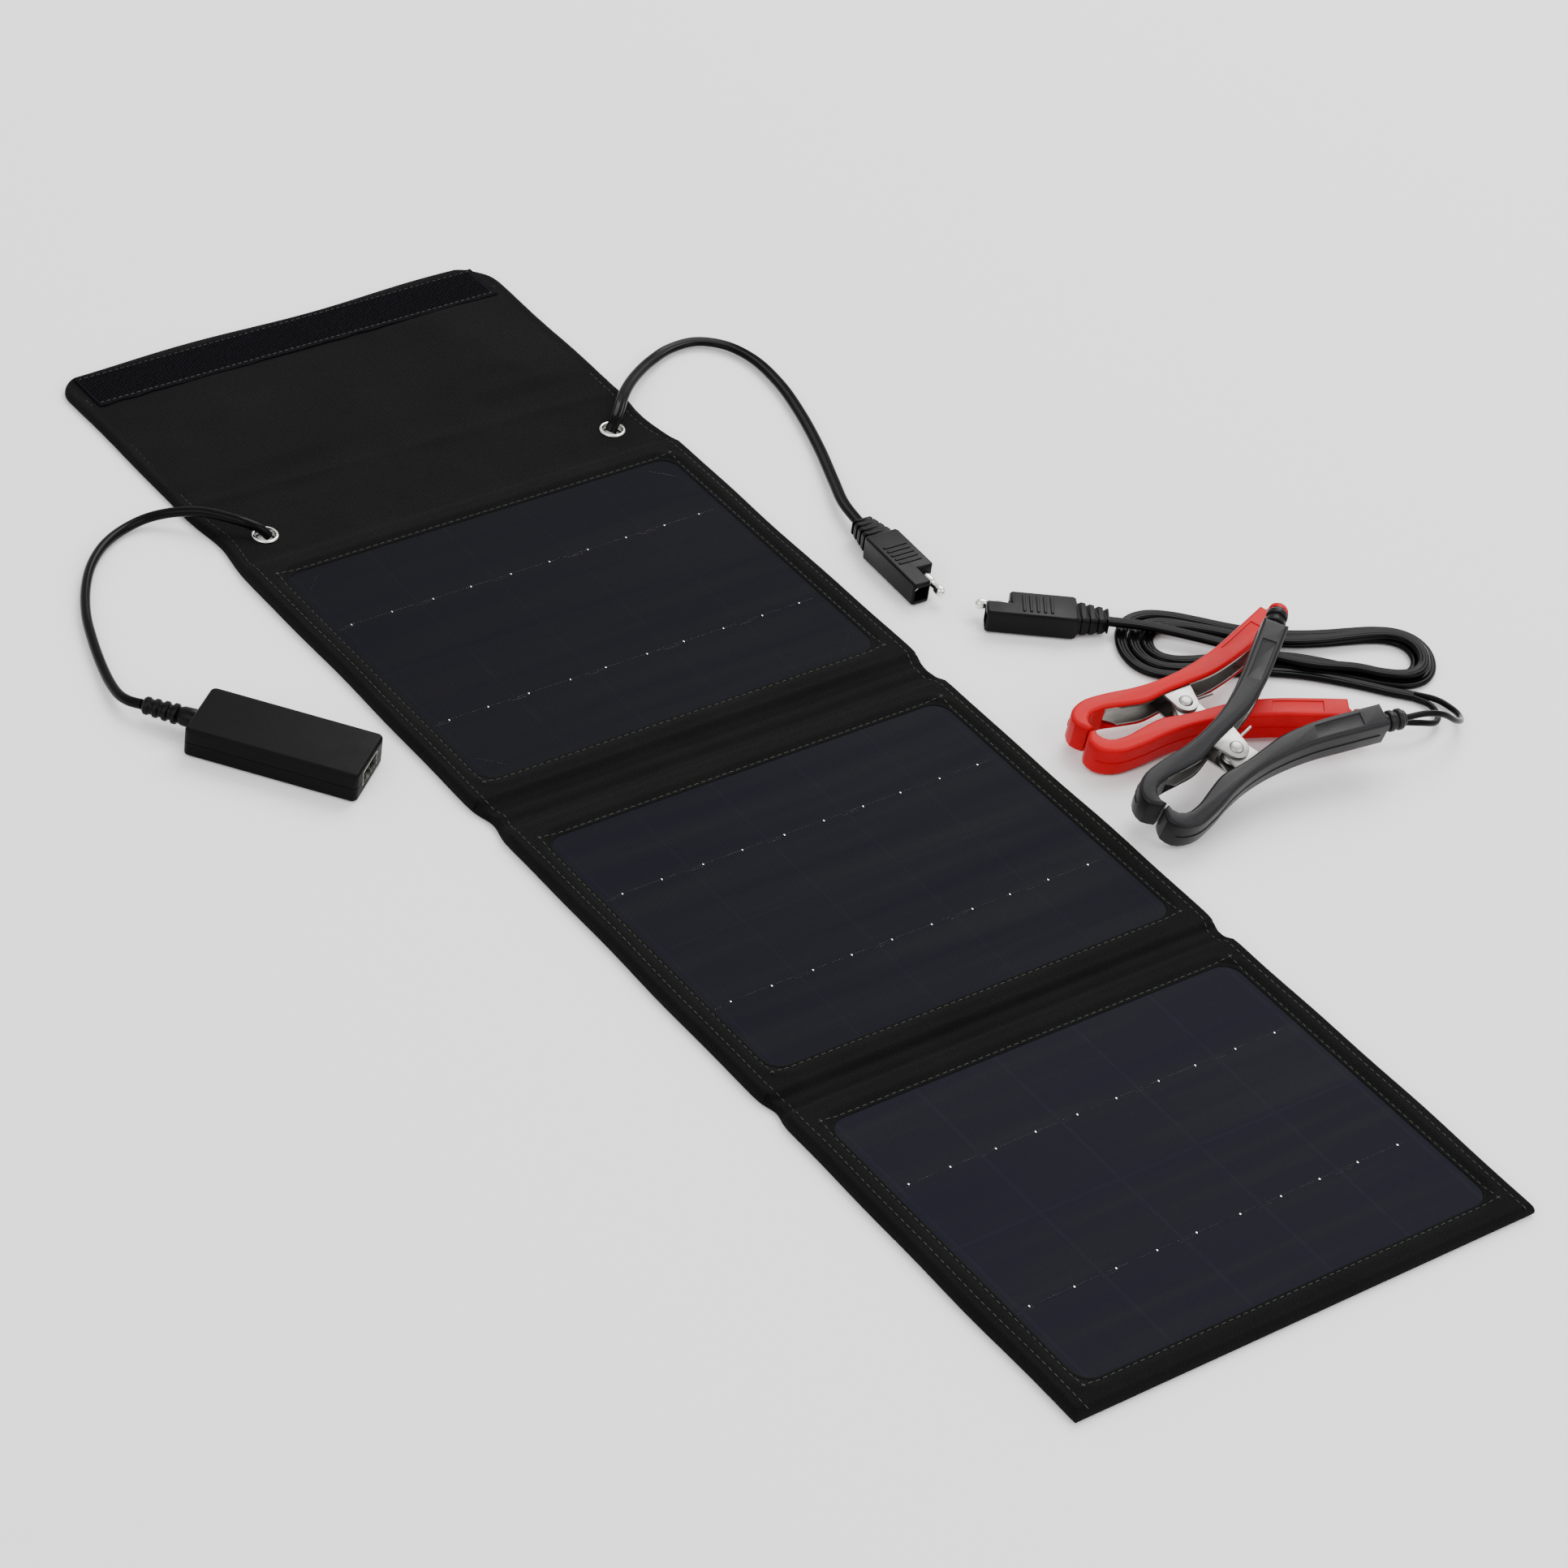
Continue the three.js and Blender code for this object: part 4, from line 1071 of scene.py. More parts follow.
def wavy_tape(x0, x1, half, z0, z1, wave):
    """A sewn tape whose inner edge wanders a little."""
    outline = [(x0, y) for y in np.linspace(half, -half, 50)]
    outline += [(x1 + wave * float(ripple(0, y, 1, 7, 30.0)), y) for y in np.linspace(-half, half, 90)]
    return plate([outline], z0, z1, 0.25)


def make_tapes():
    low, high = node_box("hook_strip")
    base = wavy_tape(low[0], high[0], high[1], low[2] - 0.1, high[2] - 0.75, 0.6)
    xs = np.arange(low[0] + 1.4, high[0] - 1.4, 1.25)
    ys = np.arange(low[1] + 1.6, high[1] - 1.6, 1.35)
    spots = [(x + 0.25 * noise.noise((x, y, 1)), y + 0.25 * noise.noise((x, y, 2)), high[2] - 0.6)
             for x in xs for y in ys]
    hooks = repeated("points", spots, [], 1.0, (0.5, 0.5, 1.1), "hooks")
    fitted(joined(base, hooks), "hook_tape", "hooks", "tape", ["hook_strip"], "flap")
    seam = []
    for x in (low[0] + 1.6, high[0] - 1.6):
        seam.append([(x, y, high[2] - 0.68) for y in np.arange(low[1] + 2, high[1] - 2, 1.5)])
    points, edges = path_edges(seam)
    sewn = repeated("along", points, edges, 2.6, (2.0, 0.4, 0.35), "thread")
    fitted(sewn, "hook_tape_stitches", "thread", "tape", body="flap")

    low, high = LOOP_LOW, LOOP_HIGH
    base = plate([rectangle(low[0], high[0], low[1], high[1], 1.0)], 0.25, 0.6, 0.1)
    xs = np.arange(low[0] + 1.2, high[0] - 1.2, 1.3)
    ys = np.arange(low[1] + 1.4, high[1] - 1.4, 1.3)
    spots = [(x + 0.4 * noise.noise((x, y, 3)), y + 0.4 * noise.noise((x, y, 4)), 0.3)
             for x in xs for y in ys]
    loops = repeated("points", spots, [], 1.0, (0.9, 0.7, 0.5), "loops")
    fitted(joined(base, loops), "loop_tape", "loops", "tape", ["loop_strip"], "panel_2")


def repaint(node, paint):
    holder = bpy.data.objects[node]
    holder.data.materials.clear()
    holder.data.materials.append(PAINT[paint])


def corner_marks(x0, x1, half):
    """The cut corners of panel 1's outermost cells, which show as short pale lines."""
    marks = []
    for x, inward in ((x0 + 4.5, 1), (x1 - 4.5, -1)):
        for side in (-1, 1):
            start = np.array((x, side * (half - 12.0), SHEET_TOP + ON_SHEET))
            step = np.array((inward * 0.75, side * 0.75, 0.0))
            marks.append([tuple(start + step * i) for i in range(11)])
    return marks


def make_laminates():
    """The laminates keep their solids; the ribbons and solder that show through are added on them."""
    for number, (x0, x1, half) in WINDOWS.items():
        repaint(f"panel_{number}_front_sheet", f"laminate_{number}")
        repaint(f"panel_{number}_board", "board")
        repaint(f"panel_{number}_cells", "silicon")
        lines, dots = [], []
        for offset in RIBBON_LINES:
            x = x0 + offset
            for row in range(-3, 2):
                y0 = max(row * CELL_PITCH + CELL_PITCH / 2 + 1.2, -83)
                y1 = min(y0 + CELL_PITCH - 2.4, 83) if row > -3 else -49.9 - 1.2
                lines.append([(x, y, SHEET_TOP + ON_SHEET) for y in np.arange(y0, y1, 1.0)])
                lines.append([(x + 1.0, y0 + t, SHEET_TOP + ON_SHEET) for t in range(-3, 4)])
            for step in range(SOLDER_DOTS):
                y = SOLDER_START + SOLDER_PITCH * step
                shift = 1.4 * noise.noise((x * 0.7, y * 0.9, 40.0 + number))
                dots.append((x + 0.15 * shift, y + shift, SHEET_TOP + 0.03))
        if number == 1:
            lines += corner_marks(x0, x1, half)
        points, edges = path_edges(lines)
        body = f"panel_{number}"
        ribbons = repeated("along", points, edges, 1.0, (0.62, 0.34, 0.05), "ribbon")
        fitted(ribbons, f"{body}_ribbon_marks", "ribbon", "copper", body=body)
        solder = repeated("points", dots, [], 1.0, (0.95, 0.5, 0.14), "solder")
        fitted(solder, f"{body}_solder_marks", "solder", "copper", body=body)


def make_eyelets():
    profile = [(3.9, 1.1), (4.25, 1.1), (4.25, 2.85), (4.95, 2.8), (5.1, 2.95), (5.05, 3.2), (4.85, 3.5),
               (4.6, 3.66), (4.35, 3.7), (4.1, 3.6), (3.95, 3.35), (3.9, 3.0), (3.9, 1.1)]
    for name, place in EYELET_AT.items():
        ring = moved(turned(profile, 64), Matrix.Translation((*place, 0)))
        fitted(ring, f"{name}_eyelet_ring", "nickel", "nickel", [f"{name}_eyelet"], "panel_1")
        repaint(f"{name}_eyelet_washer", "nickel")
    repaint("flap_liner", "board")


FOIL_THICK = 0.15


def make_wiring():
    """Foil links between the boards, laid flat across the spines, and the feeds to the eyelets."""
    for name, bend in (("link_1_to_2", BEND_TO_2), ("link_2_to_3", BEND_TO_3)):
        low, high = node_box(f"{name}_first")
        end = node_box(f"{name}_second")[1][0]
        xs = np.linspace(low[0], end, 60)
        x, y = np.meshgrid(xs, np.linspace(low[1], high[1], 5), indexing="ij")
        top = np.stack([x, y, np.full_like(x, high[2])], -1)
        under = np.stack([x, y, np.full_like(x, high[2] - FOIL_THICK)], -1)
        fitted(grid_shell(top, under), f"{name}_foil", "copper", "copper",
               [f"{name}_first", f"{name}_second"], bend=bend)
    for node in ("usb_feed_wire", "plug_feed_wire"):
        repaint(node, "copper")


# ---- Leads --------------------------------------------------------------------------------------
USB_ROUTE = [
    (-190.4, -76.3, 2.5), (-192.0, -79.1, 5.6), (-195.4, -83.4, 7.5), (-201.4, -88.3, 7.9),
    (-208.5, -93.8, 7.3), (-214.8, -101.5, 5.6), (-218.6, -110.5, 3.6), (-218.2, -120.5, 2.2),
    (-213.2, -131.8, 2.1), (-204.4, -142.4, 2.1), (-192.6, -151.6, 2.1), (-178.6, -159.4, 2.1),
    (-163.6, -165.2, 2.1), (-149.6, -169.6, 2.2), (-138.6, -172.4, 2.8), (-130.0, -173.7, 4.0),
    (-124.3, -173.0, 5.2), (-120.55, -170.75, 5.75)]
PLUG_ROUTE = [
    (-190.2, 76.2, 2.7), (-191.5, 78.5, 5.9), (-195.0, 82.6, 7.4), (-201.8, 89.2, 7.6),
    (-209.2, 97.4, 6.6), (-216.6, 107.2, 4.9), (-223.6, 118.8, 3.2), (-228.4, 131.2, 2.3),
    (-228.0, 143.0, 2.3), (-221.0, 152.0, 2.3), (-208.4, 156.6, 2.3), (-189.6, 156.0, 2.3),
    (-168.8, 151.2, 2.3), (-146.0, 143.6, 2.4), (-124.6, 134.6, 3.2), (-109.6, 128.2, 4.3),
    (-94.6, 124.9, 5.1)]
RED_ROUTE = [
    (83.4, 248.5, 1.4), (89.4, 251.2, 1.4), (95.6, 249.6, 1.8), (100.6, 243.6, 3.6),
    (100.8, 235.0, 6.6), (97.5, 226.1, 7.9), (93.5, 219.2, 8.2), (90.5, 214.0, 8.3)]
BLACK_ROUTE = [
    (81.7, 250.2, 1.4), (88.6, 255.9, 1.4), (97.6, 256.8, 1.9), (105.0, 252.0, 4.8),
    (108.8, 244.4, 10.0), (109.3, 236.2, 15.9), (107.9, 228.2, 18.1), (106.3, 220.4, 18.0),
    (105.1, 214.5, 17.9)]
USB_RADIUS = 1.9
TWIN_STRAND = 1.2
WIRE_RADIUS = 1.2
HANK_AT = Vector((37.8, 221.8, 0.0))
HANK_YAW = math.radians(57)


def lay_cord(name, path, section, nodes):
    """A cord's tube, swept along its path and fitted on its body in place of its solids."""
    body = "clip_lead" if name.startswith(("clip", "red", "black")) else "panel_1"
    cord = fitted(swept(path, section), name, "sheath", "cord", nodes, body, angle=60)


def hank_route():
    """Centre points of the bundled twin cord: from the plug, along the hank and round its turns."""
    def turn(theta, a, w, c, z):
        rad = math.radians(theta)
        return (a * math.cos(rad), math.sin(rad) * (w + c * math.cos(rad) ** 2), z)

    points = [(-64.4, 6.6, 5.1), (-50, 5.5, 4.9), (-30, 1, 4.4), (-10, -5, 4.1), (10, -10, 4.0)]
    for theta in range(-60, 181, 12):
        share = float(rounded_step((theta + 60) / 240))
        drop = float(rounded_step((theta - 110) / 70))
        points.append(turn(theta, 55 - 5.2 * share, 6 - 4 * share, 25 - 4 * share, 3.9 - 2.6 * drop))
    turns = 2.0 + 4.0 / 12.0
    steps = int(turns * 30)
    for i in range(1, steps + 1):
        tau = turns * i / steps
        points.append(turn(180 + 360 * tau, 49.8 + 4.9 * tau, 2 + 4.9 * tau, 21 + 4 * tau, 1.3))
    points += [(37.5, -20.2, 1.3), (43.5, -21.6, 1.3), (47.5, -22.5, 1.3)]
    basis = Matrix.Translation(HANK_AT) @ Matrix.Rotation(HANK_YAW, 4, "Z")
    return [basis @ Vector(p) for p in points]


# ---- Connector shells ---------------------------------------------------------------------------
def placed(at, yaw, flipped=False):
    turn = Matrix.Rotation(yaw, 4, "Z")
    if flipped:
        turn = turn @ Matrix.Rotation(math.pi, 4, "X")
    return Matrix.Translation(at) @ turn


BOX_PLACE = placed((-78.7, -138.7, 0), math.radians(37.4))
BOX_HALF = (32.0, 13.5)
BOX_HEIGHT = 11.5
BOX_RELIEF = 20.0
BOX_LIP = 2.2  # the square lip where the halves meet
PORT = (13.2, 5.8)
PLUG_PLACES = {"panel": placed((-48.2, 122.4, 0.4), math.radians(-3)),
               "lead": placed((-29.5, 133.9, 9.9), math.radians(234.5), True)}
PLUG_LENGTH = 34.0
PLUG_STEP = 9.0
PLUG_HALF = 7.4
PLUG_HEIGHT = 9.5
PLUG_RELIEF = 12.0
PLUG_PIN_Y = 3.7  # of the pin; the sleeve is as far on the other side


def make_usb_box():
    middle = BOX_HEIGHT / 2
    x, y = BOX_HALF
    port = block(x - 12, x + 2, -PORT[0] / 2 - 0.5, PORT[0] / 2 + 0.5, middle - PORT[1] / 2 - 0.5,
                 middle + PORT[1] / 2 + 0.5)
    outline = rectangle(-x, x, -y, y, 2.2, 8)
    seam = 0.08
    for name, z0, z1, bevel, lip in (
            ("top", middle + seam, BOX_HEIGHT, 1.3, middle + seam),
            ("bottom", 0.0, middle - seam, 0.9, middle - seam - BOX_LIP)):
        rim = plate([outline], z0, z1, bevel, 4)
        keep = plate([outline], lip, lip + BOX_LIP, 0.12, 2)
        half = carved(union(joined(rim, keep)), port)
        fitted(moved(half, BOX_PLACE), f"usb_box_{name}_shell", "box", "black_plastic",
               [f"usb_box_{name}"], "panel_1")
    shell = carved(block(17.5, 31.9, -7.0, 7.0, middle - 3.3, middle + 3.3, 0.35),
                   block(18.1, 34, -PORT[0] / 2, PORT[0] / 2, middle - PORT[1] / 2, middle + PORT[1] / 2))
    fitted(moved(shell, BOX_PLACE), "usb_socket_metal", "nickel", "nickel", ["usb_socket_shell"], "panel_1")
    repaint("usb_socket_tongue", "plug")
    repaint("usb_circuit_board", "circuit")

    profile = [(0, 0), (2.2, 0), (2.75, 0.3)]
    for i in range(4):
        start = i * 3.5
        radius = 3.3 + 0.16 * i
        profile += [(2.8, start + 0.35), (radius - 0.25, start + 0.65), (radius, start + 1.0),
                    (radius, start + 2.1), (radius - 0.25, start + 2.45), (2.8, start + 2.75)]
    profile += [(3.3, 14.4), (3.5, 14.9), (3.7, 19.6), (3.55, 19.95), (2.3, 20.05), (2.3, 22.4), (0, 22.4)]
    relief_mesh = moved(turned(profile, 36), Matrix.Translation((-BOX_HALF[0] - BOX_RELIEF - 0.1, 0, middle))
                        @ LENGTHWISE)
    return fitted(moved(relief_mesh, BOX_PLACE), "usb_relief", "plug", "black_plastic",
                  ["usb_strain_relief"], "panel_1")


def union(mesh):
    """Overlapping closed shells made one."""
    holder = holder_of(mesh)
    modifier = holder.modifiers.new("union", "BOOLEAN")
    modifier.operation = "UNION"
    modifier.solver = "EXACT"
    modifier.use_self = True
    # The modifier needs a second shell, so a block far outside is added and then deleted.
    other = holder_of(block(1000, 1001, 0, 1, 0, 1))
    modifier.object = other
    result = evaluated(holder)
    bpy.data.objects.remove(other)
    shape = bmesh.new()
    shape.from_mesh(result)
    bmesh.ops.delete(shape, geom=[v for v in shape.verts if v.co.x > 900], context="VERTS")
    shape.to_mesh(result)
    shape.free()
    return result


def plug_outline():
    """The step-shaped outline of a connector body, with soft corners."""
    return [(-PLUG_LENGTH, -PLUG_HALF + 0.8), (-PLUG_LENGTH + 1.2, -PLUG_HALF), (-0.9, -PLUG_HALF),
            (0, -PLUG_HALF + 0.9), (0, -0.5), (-0.7, 0.3), (-PLUG_STEP - 0.2, 0.3),
            (-PLUG_STEP, 0.6), (-PLUG_STEP, PLUG_HALF - 0.9), (-PLUG_STEP - 0.9, PLUG_HALF),
            (-PLUG_LENGTH + 1.2, PLUG_HALF), (-PLUG_LENGTH, PLUG_HALF - 0.8)]


def make_connector(prefix, body):
    place = PLUG_PLACES[prefix]
    middle = PLUG_HEIGHT / 2
    shell = plate([plug_outline()], 0, PLUG_HEIGHT, 0.9, 4)
    taper = []
    for i in range(25):
        x = -PLUG_LENGTH + 1 - (PLUG_RELIEF + 1) * i / 24
        share = i / 24
        groove = 1.0 if (i % 6) in (3, 4) and i > 1 else 0.0
        half_y = 6.6 - 2.1 * share - 0.75 * groove
        half_z = 4.1 - 0.9 * share - 0.55 * groove
        ring = []
        for u, v in rectangle(-half_y, half_y, -half_z, half_z, 1.5, 5):
            ring.append((x + 0.22 * u * (1 if groove else 0), u, middle + v))
        taper.append(np.array(ring))
    points = np.concatenate(taper)
    count = len(taper[0])
    faces = [(r * count + i, r * count + (i + 1) % count, (r + 1) * count + (i + 1) % count,
              (r + 1) * count + i) for r in range(24) for i in range(count)]
    faces += [tuple(range(count)), tuple(range(24 * count, 25 * count))]
    relief_mesh = outward(mesh_from(points, faces))
    recess = block(-13, 2, -PLUG_PIN_Y - 3.0, -PLUG_PIN_Y + 3.0, middle - 3.0, middle + 3.0, 0.3)
    hole = moved(turned([(0, 0), (2.1, 0), (2.1, 10), (0, 10)], 24),
                 Matrix.Translation((-PLUG_STEP - 8, PLUG_PIN_Y, middle)) @ LENGTHWISE)
    body_mesh = carved(shell, recess, hole)
    ribs = []
    for i in range(5):
        x = -PLUG_STEP - 5 - 2.6 * i
        for z in (-0.38, PLUG_HEIGHT - 0.6):
            ribs.append(plate([rectangle(x - 0.65, x + 0.65, -5.2, 5.2, 0.6, 4)], z, z + 0.98, 0.3, 2))
    whole = joined(body_mesh, relief_mesh, *ribs)
    piece = fitted(moved(whole, place), f"{prefix}_connector_body", "plug", "black_plastic",
                   [f"{prefix}_plug_body"], body)

    profile = [(0, 0), (1.6, 0), (1.6, 7.5), (2.0, 7.9), (2.0, 12.0), (1.85, 12.3), (1.35, 12.9), (1.3, 13.2),
               (1.3, 15.3), (1.5, 15.7), (1.9, 16.1), (2.0, 16.6), (2.0, 18.3), (1.85, 18.9), (1.3, 19.6),
               (0.6, 19.95), (0, 20)]
    sleeve = [(1.9, 0), (2.4, 0), (2.4, 7.7), (2.2, 8), (2.0, 7.9), (1.9, 7.6), (1.9, 0)]
    for name, outline, x, y in (("pin", profile, -PLUG_STEP - 7.5, PLUG_PIN_Y),
                                ("sleeve", sleeve, -12.6, -PLUG_PIN_Y)):
        metal = moved(turned(outline, 36), Matrix.Translation((x, y, middle)) @ LENGTHWISE)
        fitted(moved(metal, place), f"{prefix}_connector_{name}", "nickel", "nickel",
               [f"{prefix}_plug_{name}"], body)
    return piece


# ---- Spring clips -------------------------------------------------------------------------------
OUTER_EDGE = [(-42.5, 0.4), (-45.4, 4.4), (-44.0, 9.8), (-37.5, 13.6), (-27.5, 13.8), (-15, 12.4),
              (-4, 12.4), (8, 14.0), (24, 18.4), (40, 24.9), (53, 30.4)]
INNER_EDGE = [(-39.8, 0.4), (-40.2, 3.6), (-37.4, 6.6), (-31, 7.2), (-23, 5.8), (-14, 4.5),
              (-4, 6.0), (6, 6.7), (17, 7.5), (31, 11.2), (44, 16.2), (57.2, 21.7)]
CLIP_PLACES = {"red": ((57.4, 156.9, 10.0), (8.5, -2.4, 84.9)),
               "black": ((92.2, 149.8, 16.4), (15.0, -8.4, 103.1))}
CLIP_SPREAD = math.radians(25.3)
ARM_STEPS = 44


def arm_edge(points):
    path = centripetal([(x, y, 0) for x, y in points], 0.6)
    lengths = [0.0]
    for a, b in zip(path, path[1:]):
        lengths.append(lengths[-1] + (b - a).length)
    found = []
    for i in range(ARM_STEPS + 1):
        want = lengths[-1] * i / ARM_STEPS
        found.append((float(np.interp(want, lengths, [p.x for p in path])),
                      float(np.interp(want, lengths, [p.y for p in path]))))
    return np.array(found)


def arm_band(near, far, first=0.0, last=1.0):
    """The strip of an arm between two shares of its width and two shares of its length."""
    outer, inner = arm_edge(OUTER_EDGE), arm_edge(INNER_EDGE)
    a, b = round(first * ARM_STEPS), round(last * ARM_STEPS) + 1
    near_edge = outer + (inner - outer) * near
    far_edge = outer + (inner - outer) * far
    return [tuple(p) for p in np.concatenate([far_edge[a:b], near_edge[a:b][::-1]])]


def clip_boot(slot_half):
    half = 6.5
    arm = plate([arm_band(0.0, 1.0)], -half, half, 1.5, 4)
    slot = plate([arm_band(0.26, 1.6, 0.13, 0.93)], -slot_half, slot_half)
    pads = [plate([arm_band(0.22, 0.78, 0.72, 0.9)], middle - 0.9, middle + 0.9, 0.3)
            for middle in (-half - 0.5, half + 0.5)]
    arm = carved(arm, slot, *pads)
    profile = [(0, 56), (3.3, 56), (3.1, 59.6)]
    for i in range(3):
        x = 60 + 3.6 * i
        profile += [(3.1, x), (3.7, x + 0.25), (4.0, x + 0.7),
                    (4.0, x + 1.9), (3.7, x + 2.35), (3.1, x + 2.6)]
    profile += [(3.1, 70.6), (2.7, 71.0), (0, 71.0)]
    end = moved(turned(profile, 36), Matrix.Rotation(CLIP_SPREAD, 4, "Z") @ LENGTHWISE)
    seam_line = plate([arm_band(-0.035, 0.2, 0.08, 0.97)], -0.14, 0.14)
    return joined(arm, end, seam_line)


def clip_jaw(outer_half):
    pieces = [plate([arm_band(0.3, 0.96, 0.2, 0.86)], -outer_half, outer_half, 0.12, 1)]
    cheek = [(-6.6, 9.2), (-4.7, 0)]
    cheek += [(4.7 * math.cos(math.radians(a)), 4.7 * math.sin(math.radians(a))) for a in range(195, 360, 15)]
    cheek += [(4.7, 0), (6.6, 9.2)]
    pieces.append(plate([cheek], -outer_half, outer_half, 0.1, 1))
    inner = outer_half - 1.0
    tools = [plate([arm_band(0.46, 1.8, 0.13, 0.93)], -inner, inner),
             block(-7.2, 7.2, -7, 9.6, -inner, inner)]
    return joined(*[carved(piece, *[tool.copy() for tool in tools]) for piece in pieces])


def clip_spring_mesh():
    """A coil of round wire with a leg under each handle."""
    turns = 2.36
    count = 52
    radius = 3.35
    side = 1.4  # how far each leg lies from the middle
    path = [Vector(p) for p in ((16, 4.2, -side), (10, 3.9, -side), (6, 3.6, -side))]
    for i in range(count + 1):
        angle = math.radians(90 + 360 * turns * i / count)
        path.append(Vector((radius * math.cos(angle), radius * math.sin(angle), side * (2 * i / count - 1))))
    path += [Vector((6, -5.6, side)), Vector((14, -9.6, side))]
    return swept(path, round_section(0.6, 10))


def clip_rivet_mesh():
    profile = [(0, -5.8), (1.6, -5.75), (2.3, -5.5), (2.6, -5.15), (2.7, -4.95), (1.9, -4.95), (1.9, 4.95),
               (2.7, 4.95), (2.6, 5.15), (2.3, 5.5), (1.6, 5.75), (0, 5.8)]
    return turned(profile, 36)


# Where each wire runs on inside its lower boot, to be crimped beside the pivot.
WIRE_INSIDE = ((59.0, 27.9), (50.0, 23.4), (42.4, 19.8), (27.5, 14.2), (11.0, 10.2))


def clip_basis(colour):
    at, turn = CLIP_PLACES[colour]
    rx, ry, rz = (math.radians(a) for a in turn)
    return Matrix.Translation(at) @ Matrix.Rotation(rz, 4, "Z") @ Matrix.Rotation(ry, 4, "Y") \
        @ Matrix.Rotation(rx, 4, "X")


def make_clip(colour):
    basis = clip_basis(colour)
    over = Matrix.Rotation(math.pi, 4, "X")
    upper_body = f"{colour}_clip_upper"
    parts = [("upper_boot", clip_boot(5.2), basis, colour, f"{colour}_plastic", upper_body),
             ("lower_boot", clip_boot(3.6), basis @ over, colour, f"{colour}_plastic", "clip_lead"),
             ("upper_jaw", clip_jaw(4.9), basis, "steel", "steel", upper_body),
             ("lower_jaw", clip_jaw(3.5), basis @ over, "steel", "steel", "clip_lead"),
             ("rivet", clip_rivet_mesh(), basis, "steel", "steel", "clip_lead"),
             ("spring", clip_spring_mesh(), basis, "steel", "steel", "clip_lead")]
    return [fitted(moved(mesh, where), f"{colour}_{name}", paint, slot, [f"{colour}_clip_{name}"],
                   body, angle=32)
            for name, mesh, where, paint, slot, body in parts]


# ---- Making -------------------------------------------------------------------------------------
CAMERA_AT = (1.0578, -0.9087, 1.0732)  # in metres
CAMERA_RIGHT = (0.58442, 0.80265, 0.11918)
CAMERA_BACK = (0.59387, -0.52316, 0.61125)
CAMERA_LENS = 114.67
LAMPS = (("key", (-0.9, 1.5, 2.0), 1.6, 42), ("fill", (1.6, 0.9, 1.5), 1.4, 14),
         ("front", (0.6, -1.8, 1.6), 1.6, 14))  # name, place in metres, size and power


def make_camera():
    camera = bpy.data.objects.new("camera", bpy.data.cameras.new("camera"))
    right = Vector(CAMERA_RIGHT).normalized()
    back = Vector(CAMERA_BACK).normalized()
    up = back.cross(right).normalized()
    right = up.cross(back)
    turn = Matrix((right, up, back)).transposed().to_4x4()
    camera.matrix_world = Matrix.Translation(CAMERA_AT) @ turn
    camera.data.sensor_width = 36.0
    camera.data.lens = CAMERA_LENS
    camera.data.clip_end = 50.0
    bpy.context.scene.collection.objects.link(camera)
    bpy.context.scene.camera = camera


def make_cords():
    """The box, connectors and clips first, then the cords."""
    relief_piece = make_usb_box()
    panel_plug = make_connector("panel", "panel_1")
    lead_plug = make_connector("lead", "clip_lead")
    red = make_clip("red")
    black = make_clip("black")
    usb = centripetal(USB_ROUTE, 2.0)
    lay_cord("usb_lead", usb, round_section(USB_RADIUS, 18),
             ["usb_cord"])
    plug = centripetal(PLUG_ROUTE, 2.0)
    lay_cord("plug_lead", plug, twin_section(TWIN_STRAND),
             ["plug_cord"])
    hank = centripetal(hank_route(), 2.0)
    lay_cord("clip_lead_cord", hank, twin_section(TWIN_STRAND),
             ["lead_hank"])
    for colour, route, clip in (("red", RED_ROUTE, red), ("black", BLACK_ROUTE, black)):
        basis = clip_basis(colour) @ Matrix.Rotation(math.pi, 4, "X")
        inside = [tuple(basis @ Vector((x, y, 0))) for x, y in WIRE_INSIDE]
        path = centripetal(list(route) + inside, 1.5)
        lay_cord(f"{colour}_single_wire", path, round_section(WIRE_RADIUS, 14),
                 [f"{colour}_clip_wire"])


def make_stage():
    made = settings("stage")
    scene = bpy.context.scene
    floor = mesh_from([(-9, -9, 0), (9, -9, 0), (9, 9, 0), (-9, 9, 0)], [(0, 1, 2, 3)])
    floor.transform(Matrix.Translation((0, 0, -0.0004)))
    ground = bpy.data.objects.new("floor", floor)
    material, nodes, shader, place = new_material("pale floor", 0.9, Specular_IOR_Level=0.1)
    shades(nodes, shader, nodes.add("ShaderNodeTexNoise", {"Vector": place, "Scale": 2.0}).outputs["Fac"],
           (made.floor,) * 3, (made.floor * 1.02,) * 3)
    floor.materials.append(material)
    scene.collection.objects.link(ground)
    world = bpy.data.worlds.new("studio")
    world.use_nodes = True
    world.node_tree.nodes["Background"].inputs["Color"].default_value = (1, 1, 1, 1)
    world.node_tree.nodes["Background"].inputs["Strength"].default_value = 0.75 * made.light
    scene.world = world
    for name, at, size, power in LAMPS:
        light = bpy.data.lights.new(name, "AREA")
        light.size = size
        light.energy = power * made.light
        holder = bpy.data.objects.new(name, light)
        holder.location = at
        holder.rotation_euler = (-Vector(at)).to_track_quat("-Z", "Y").to_euler()
        scene.collection.objects.link(holder)


def make_paints():
    PAINT.update(paints())


class CHARGER_OT_camera(bpy.types.Operator):
    """Place the camera."""
    bl_idname = "charger.camera"
    bl_label = "Set Up the Camera"
    bl_options = {"REGISTER", "UNDO"}

    def execute(self, context):
        make_camera()
        return {"FINISHED"}


class CHARGER_OT_finishes(bpy.types.Operator):
    """Make every material, once."""
    bl_idname = "charger.finishes"
    bl_label = "Mix the Finishes"
    bl_options = {"REGISTER", "UNDO"}

    def execute(self, context):
        make_paints()
        return {"FINISHED"}


